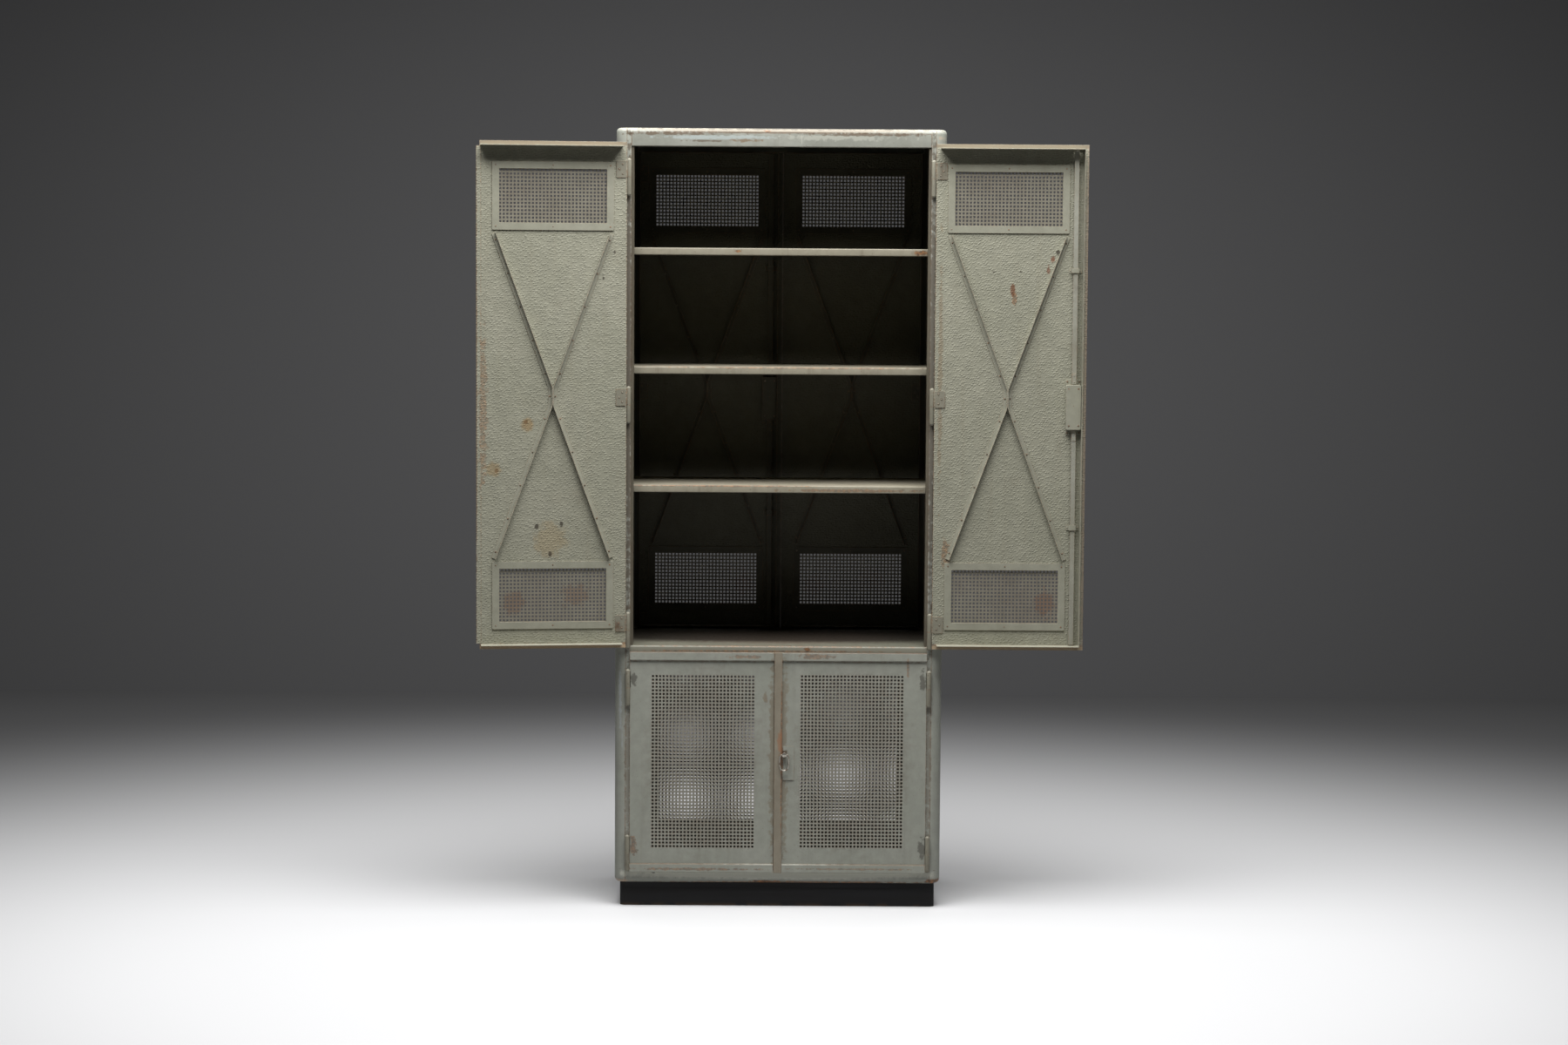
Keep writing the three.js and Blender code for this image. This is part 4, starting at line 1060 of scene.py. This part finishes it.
def rodLock(face, leaf):
    s, z = rodLockSize["s"], rodLockSize["z"]
    door, slant = face + "_lock_door", math.sqrt(0.5)
    inside = {"slot": "inside_paint", "leaf": leaf}
    steel = {"slot": "lock_steel", "leaf": leaf}
    case, screws, guides = blank(), blank(), blank()
    addPlate(case, roundedBox(20.7, 62, 4, 4, 390.75, z), 8, 28.8, "y")
    for x in (377.5, 404.5):
        for up, height in ((-51, 1.0), (51, 0.2)):
            addHead(screws, x, z + up, 28.8, 3.0, height, slot=up > 0)
    addHead(screws, 391, z + 4, 28.8, 1.6, 0.2)
    for up in (69, -69):
        addPlate(case, roundedBox(20.5, 8, 1.5, 2, 391, z + up), 7.4, 9.6, "y")
    for x in (374.5, 407.5):
        for up in (-71, 71):
            addHead(screws, x, z + up, 9.6, 2.6, 1.6, slot=True)
    makePiece(face + "LockCase", case, trimOf(face), door, [face + "_lock_case"], bevel=0.9, **inside)
    makePiece(face + "CaseScrews", screws, rivetPaint, door, **steel)
    half = [(375, 8.1), (382.5, 8.1, 1), (382.5, 20.9, 2)]
    hoop = bent(half + [(402.5, 20.9, 2), (402.5, 8.1, 1), (410.5, 8.1)], 4)
    for low, high in rodLockSize["guides"]:
        addSheet(guides, [low, high], hoop, 1.5, "z")
        for x in (378.5, 406.8):
            addHead(guides, x, (low + high) / 2, 8.8, 2, 1.2)
    makePiece(face + "RodGuides", guides, trimOf(face), door, bevel=0.3, **inside)
    # the rear rods take the darker paint that stands in for the shade inside the cabinet
    rodFinish = rodPaint if face == "front" else innerTrimShadePaint
    top, foot = rodLockSize["rodTop"] - z, z - rodLockSize["rodFoot"]
    drop = 10.6 * slant
    for end, sign, stop in (("upper", 1, top), ("lower", -1, foot)):
        # the rod, with the arm that the cam draws
        outline = [(-6.5, 22), (5, 22), (5, -drop + 2.8), (10.3, -drop + 2.8), (10.3, -drop - 2.8),
                   (5, -drop - 2.8), (5, -drop - 6), (15.5, -drop - 6), (15.5, 28), (6.5, 28), (6.5, stop),
                   (-6.5, stop)]
        rod = addPlate(blank(), [(x * sign + s, up * sign + z) for x, up in outline], 14, 19, "y")
        addPlate(rod, roundedBox(5.8, 15, 1.5, 3, s, z + sign * 79), 18.9, 20.2, "y")
        for up in (70, 88):
            addHead(rod, s, z + sign * up, 20.2, 2.1, 0.9, slot=True)
        nodes = ["%s_%s_rod" % (face, end)]
        body = "%s_%s_lock_rod" % (face, end)
        makePiece(face + end.title() + "Rod", rod, rodFinish, body, nodes, bevel=0.9, **steel)
    cam = spindle(s, z, 3.7, 24)
    for sign in (1, -1):
        pin = [(0, 13.6), (2.2, 13.6), (2.2, 24), (0, 24)]
        addTurned(cam, pin, (s + sign * 7.5, 0, z - sign * 7.5), "y", 12)
    arm = [((x - up) * slant + s, -(x + up) * slant + z) for x, up in
           ((-13.8, -4), (13.8, -4), (13.8, 4), (-13.8, 4))]
    addPlate(cam, arm, 21.2, 24, "y")
    nodes = [face + "_lock_spindle"]
    makePiece(face + "LockSpindle", cam, wornSteel, face + "_lock_cam", nodes, bevel=0.2, **steel)
    outer, bore = roundedBox(17, 48, 3, 5, s, z - 24), roundedBox(5.4, 5.4, 5.39, 5, s, z)
    plate = addRing(blank(), outer, bore, 3.8, 5.3, "y")
    for up in (17, -65):
        addHead(plate, s, z + up, 3.8, 2.2, 1.0, side=-1, slot=True)
    makePiece(face + "LockPlate", plate, bodyPaint, door, [face + "_lock_plate"], leaf=leaf, bevel=0.3)
    nodes = [face + "_lock_ring"]
    makePiece(face + "LockRing", dropRing(s, z), wornSteel, face + "_lock_pull", nodes, **steel)


def upperDoors(face, plainAngle, lockAngle):
    plain, lock = leafOf(face, -1, plainAngle), leafOf(face, 1, lockAngle)
    high, low = upperDoor["windows"]
    for kind, leaf, centre, firstS in (("plain", plain, 210, 65.3), ("lock", lock, 207, 62.1)):
        name = face + kind.title()
        body = "%s_%s_door" % (face, kind)
        isLock = kind == "lock"
        lapped = face == "front" and not isLock
        edge = 427 if isLock else (411.9 if lapped else 414.4)
        upperSkin(name, leaf, body, centre, edge, isLock, lapped)
        upperBrace(name, leaf, body, 209 if isLock else 211)
        for level, z, topRow in (("Upper", high, 2054), ("Lower", low, 952)):
            windowPieces(name, leaf, body, level, centre, z, (firstS, topRow, 30, 15))
    rodLock(face, lock)


upperDoors("front", 171.9, 180)
upperDoors("rear", 0, 0)
print("upper doors built")


lowerSize = {
    "low": 98.3, "high": 720, "face": 2.6, "band": -2.4, "topBand": 22, "bottomBand": 22.5, "sheet": 1.5,
    "across": 29, "down": 49, "plainEdge": 409.3, "latchEdge": 431.4, "strip": (409.4, 431.4),
    "latch": (403, 433.5),
    # the first hole across and the top row of the plain and of the latch door
    "grids": {"front": ((70.8, 651.6), (74.6, 653.3)), "rear": ((73.6, 648.5), (78.7, 652.7))},
}


def lowerDoor(face, kind, leaf, body, edge, firstS, topRow):
    d = lowerSize
    half = d["sheet"] / 2
    face0, band = d["face"] + half, d["band"] + half
    high, low = d["high"], d["low"]
    top = bent([(7, high - half), (band, high - half, 1.2), (band, high - d["topBand"], 1.2),
                (face0, high - d["topBand"] - 1.5, 1.2), (face0, high - d["topBand"] - 10)], 3)
    bottom = bent([(face0, low + d["bottomBand"] + 10), (face0, low + d["bottomBand"] + 1.5, 1.2),
                   (band, low + d["bottomBand"], 1.2), (band, low + half, 1.2), (7, low + half)], 3)
    rows = [(face0, z) for z in holeEdges(topRow, d["down"], -perforation["pitch"])]
    stations = [6.4] + holeEdges(firstS, d["across"], perforation["pitch"]) + [edge]
    skip = len(top)

    def gone(i, j):
        inside = skip <= j < skip + 2 * d["down"] - 1
        return inside and i % 2 == 1 and i < 2 * d["across"] and (j - skip) % 2 == 0

    name = face + "Lower" + kind.title()
    panel = addSheet(blank(), stations, top + rows + bottom, d["sheet"], "x", gone)
    nodes = ["%s_lower_%s_door" % (face, kind)]
    makePiece(name + "Panel", panel, lowerPaint, body, nodes, leaf=leaf, flat=True)
    trim = blank()
    for a, b in ((6.4, 8.4), (edge - 2, edge)):
        addBlock(trim, (a, b), (d["face"] + 0.3, 7.2), (low + 2, high - 2))
    addDoorKnuckles(trim, hingeSize["lower"], 7.2)
    makePiece(name + "Hinges", trim, hingePaint, body, leaf=leaf, bevel=0.4)


def lowerDoors(face):
    d = lowerSize
    left, right = ("left", "right") if face == "front" else ("right", "left")
    plain, latch = leafOf(face, -1, 0), leafOf(face, 1, 0)
    plainGrid, latchGrid = d["grids"][face]
    lowerDoor(face, "plain", plain, "%s_lower_%s_door" % (face, left), d["plainEdge"], *plainGrid)
    body = "%s_lower_%s_door" % (face, right)
    lowerDoor(face, "latch", latch, body, d["latchEdge"], *latchGrid)
    strip = blank()
    addBlock(strip, d["strip"], (-4.3, -2.7), (d["low"], d["high"]))
    addBlock(strip, d["strip"], (-2.8, 2.3), (123.2, 693.6))
    makePiece(face + "CoverStrip", strip, edgingPaint, body, [face + "_cover_strip"], leaf=latch, bevel=0.6)
    s, z = d["latch"]
    outer, bore = roundedBox(16.7, 48, 2, 5, 392.1, 409), roundedBox(5.4, 5.4, 5.39, 5, s, z)
    plate = addRing(blank(), outer, bore, 0.6, 2.2, "y")
    makePiece(face + "LatchPlate", plate, platePaint, body, leaf=latch, bevel=0.3)
    cam = spindle(s, z, 0.6, 12)
    addBlock(cam, (s - 7, s + 7), (9, 12), (z - 42, z + 7))
    steel = {"slot": "lock_steel", "leaf": latch}
    nodes = [face + "_latch_spindle"]
    makePiece(face + "LatchSpindle", cam, wornSteel, face + "_latch_cam", nodes, bevel=0.2, **steel)
    nodes = [face + "_latch_ring"]
    makePiece(face + "LatchRing", dropRing(s, z), wornSteel, face + "_latch_pull", nodes, **steel)


lowerDoors("front")
lowerDoors("rear")
print("lower doors built")

# studio

studio = {
    "floor": (212, 212, 213), "floorBounce": (140, 140, 140), "farShade": 0.25, "reach": 14,
    "wall": (106, 106, 107), "wallBounce": (60, 60, 60), "wallY": 4.3, "wallTop": 8,
    "world": 0.003, "skySeen": 0.02,
    "power": 345, "box": (3.4, 2.8), "place": (0, -1.3, 4.3), "aim": (0, -1.2, 0),
    "rearPower": 40, "rearBox": (3.0, 1.0), "rearPlace": (0, 1.3, 3.7), "rearAim": (0, 0.9, 0),
}


def flatFinish(name, seen, bounce):
    # the studio is pale to the camera and darker to the light that it throws back on the object
    finish, tree, shader, place = newFinish(name)
    ray = put(tree, "LightPath").outputs
    direct = sums(tree, "MAXIMUM", ray["Is Camera Ray"], ray["Is Glossy Ray"])
    direct = sums(tree, "MAXIMUM", direct, ray["Is Transmission Ray"])
    colour = blend(tree, direct, tone(*bounce), tone(*seen))
    feed(tree, shader, {"Roughness": 0.9, "Specular IOR Level": 0.1})
    if name == "floorWhite":
        # the floor darkens away from the lamp
        far = vectors(tree, "LENGTH", vectors(tree, "SUBTRACT", place, (0, -0.8, 0)))
        colour = blend(tree, 1.0, colour, ramp(tree, far, 1.5, 5.1, 1.0, studio["farShade"]), "MULTIPLY")
    else:
        # seen from behind, the wall is clear, so the back of the object can be looked at
        behind = put(tree, "NewGeometry").outputs["Backfacing"]
        clear = put(tree, "BsdfTransparent").outputs[0]
        both = put(tree, "MixShader", {0: behind, 1: shader.outputs[0], 2: clear})
        tree.links.new(both.outputs[0], tree.get_output_node("ALL").inputs["Surface"])
    feed(tree, shader, {"Base Color": colour})
    return finish


def floorAndWall():
    reach, y, top = studio["reach"], studio["wallY"], studio["wallTop"]
    floor = [(-reach, -reach, 0), (reach, -reach, 0), (reach, reach, 0), (-reach, reach, 0)]
    wall = [(-reach, y, 0), (reach, y, 0), (reach, y, top), (-reach, y, top)]
    for name, corners, finish in (
            ("studioFloor", floor, flatFinish("floorWhite", studio["floor"], studio["floorBounce"])),
            ("studioWall", wall, flatFinish("wallGrey", studio["wall"], studio["wallBounce"]))):
        mesh = bpy.data.meshes.new(name)
        mesh.from_pydata(corners, [], [(0, 1, 2, 3)])
        mesh.materials.append(finish)
        item = bpy.data.objects.new(name, mesh)
        bpy.context.scene.collection.objects.link(item)


def addLamp(name, place, target, size, power):
    data = bpy.data.lights.new(name, "AREA")
    data.shape = "RECTANGLE"
    data.size, data.size_y = size
    data.energy = power
    lamp = bpy.data.objects.new(name, data)
    bpy.context.scene.collection.objects.link(lamp)
    lamp.location = place
    lamp.rotation_euler = (Vector(target) - Vector(place)).to_track_quat("-Z", "Y").to_euler()


floorAndWall()
addLamp("overheadBox", studio["place"], studio["aim"], studio["box"], studio["power"])
addLamp("rearBox", studio["rearPlace"], studio["rearAim"], studio["rearBox"], studio["rearPower"])
world = bpy.data.worlds.new("studioWorld")
bpy.context.scene.world = world
world.use_nodes = True
sky = world.node_tree
seenSky = times(sky, put(sky, "LightPath").outputs["Is Camera Ray"], studio["skySeen"])
strength = sums(sky, "ADD", seenSky, studio["world"])
feed(sky, sky.nodes["Background"], {"Color": (1, 1, 1, 1), "Strength": strength})
print("studio ready")
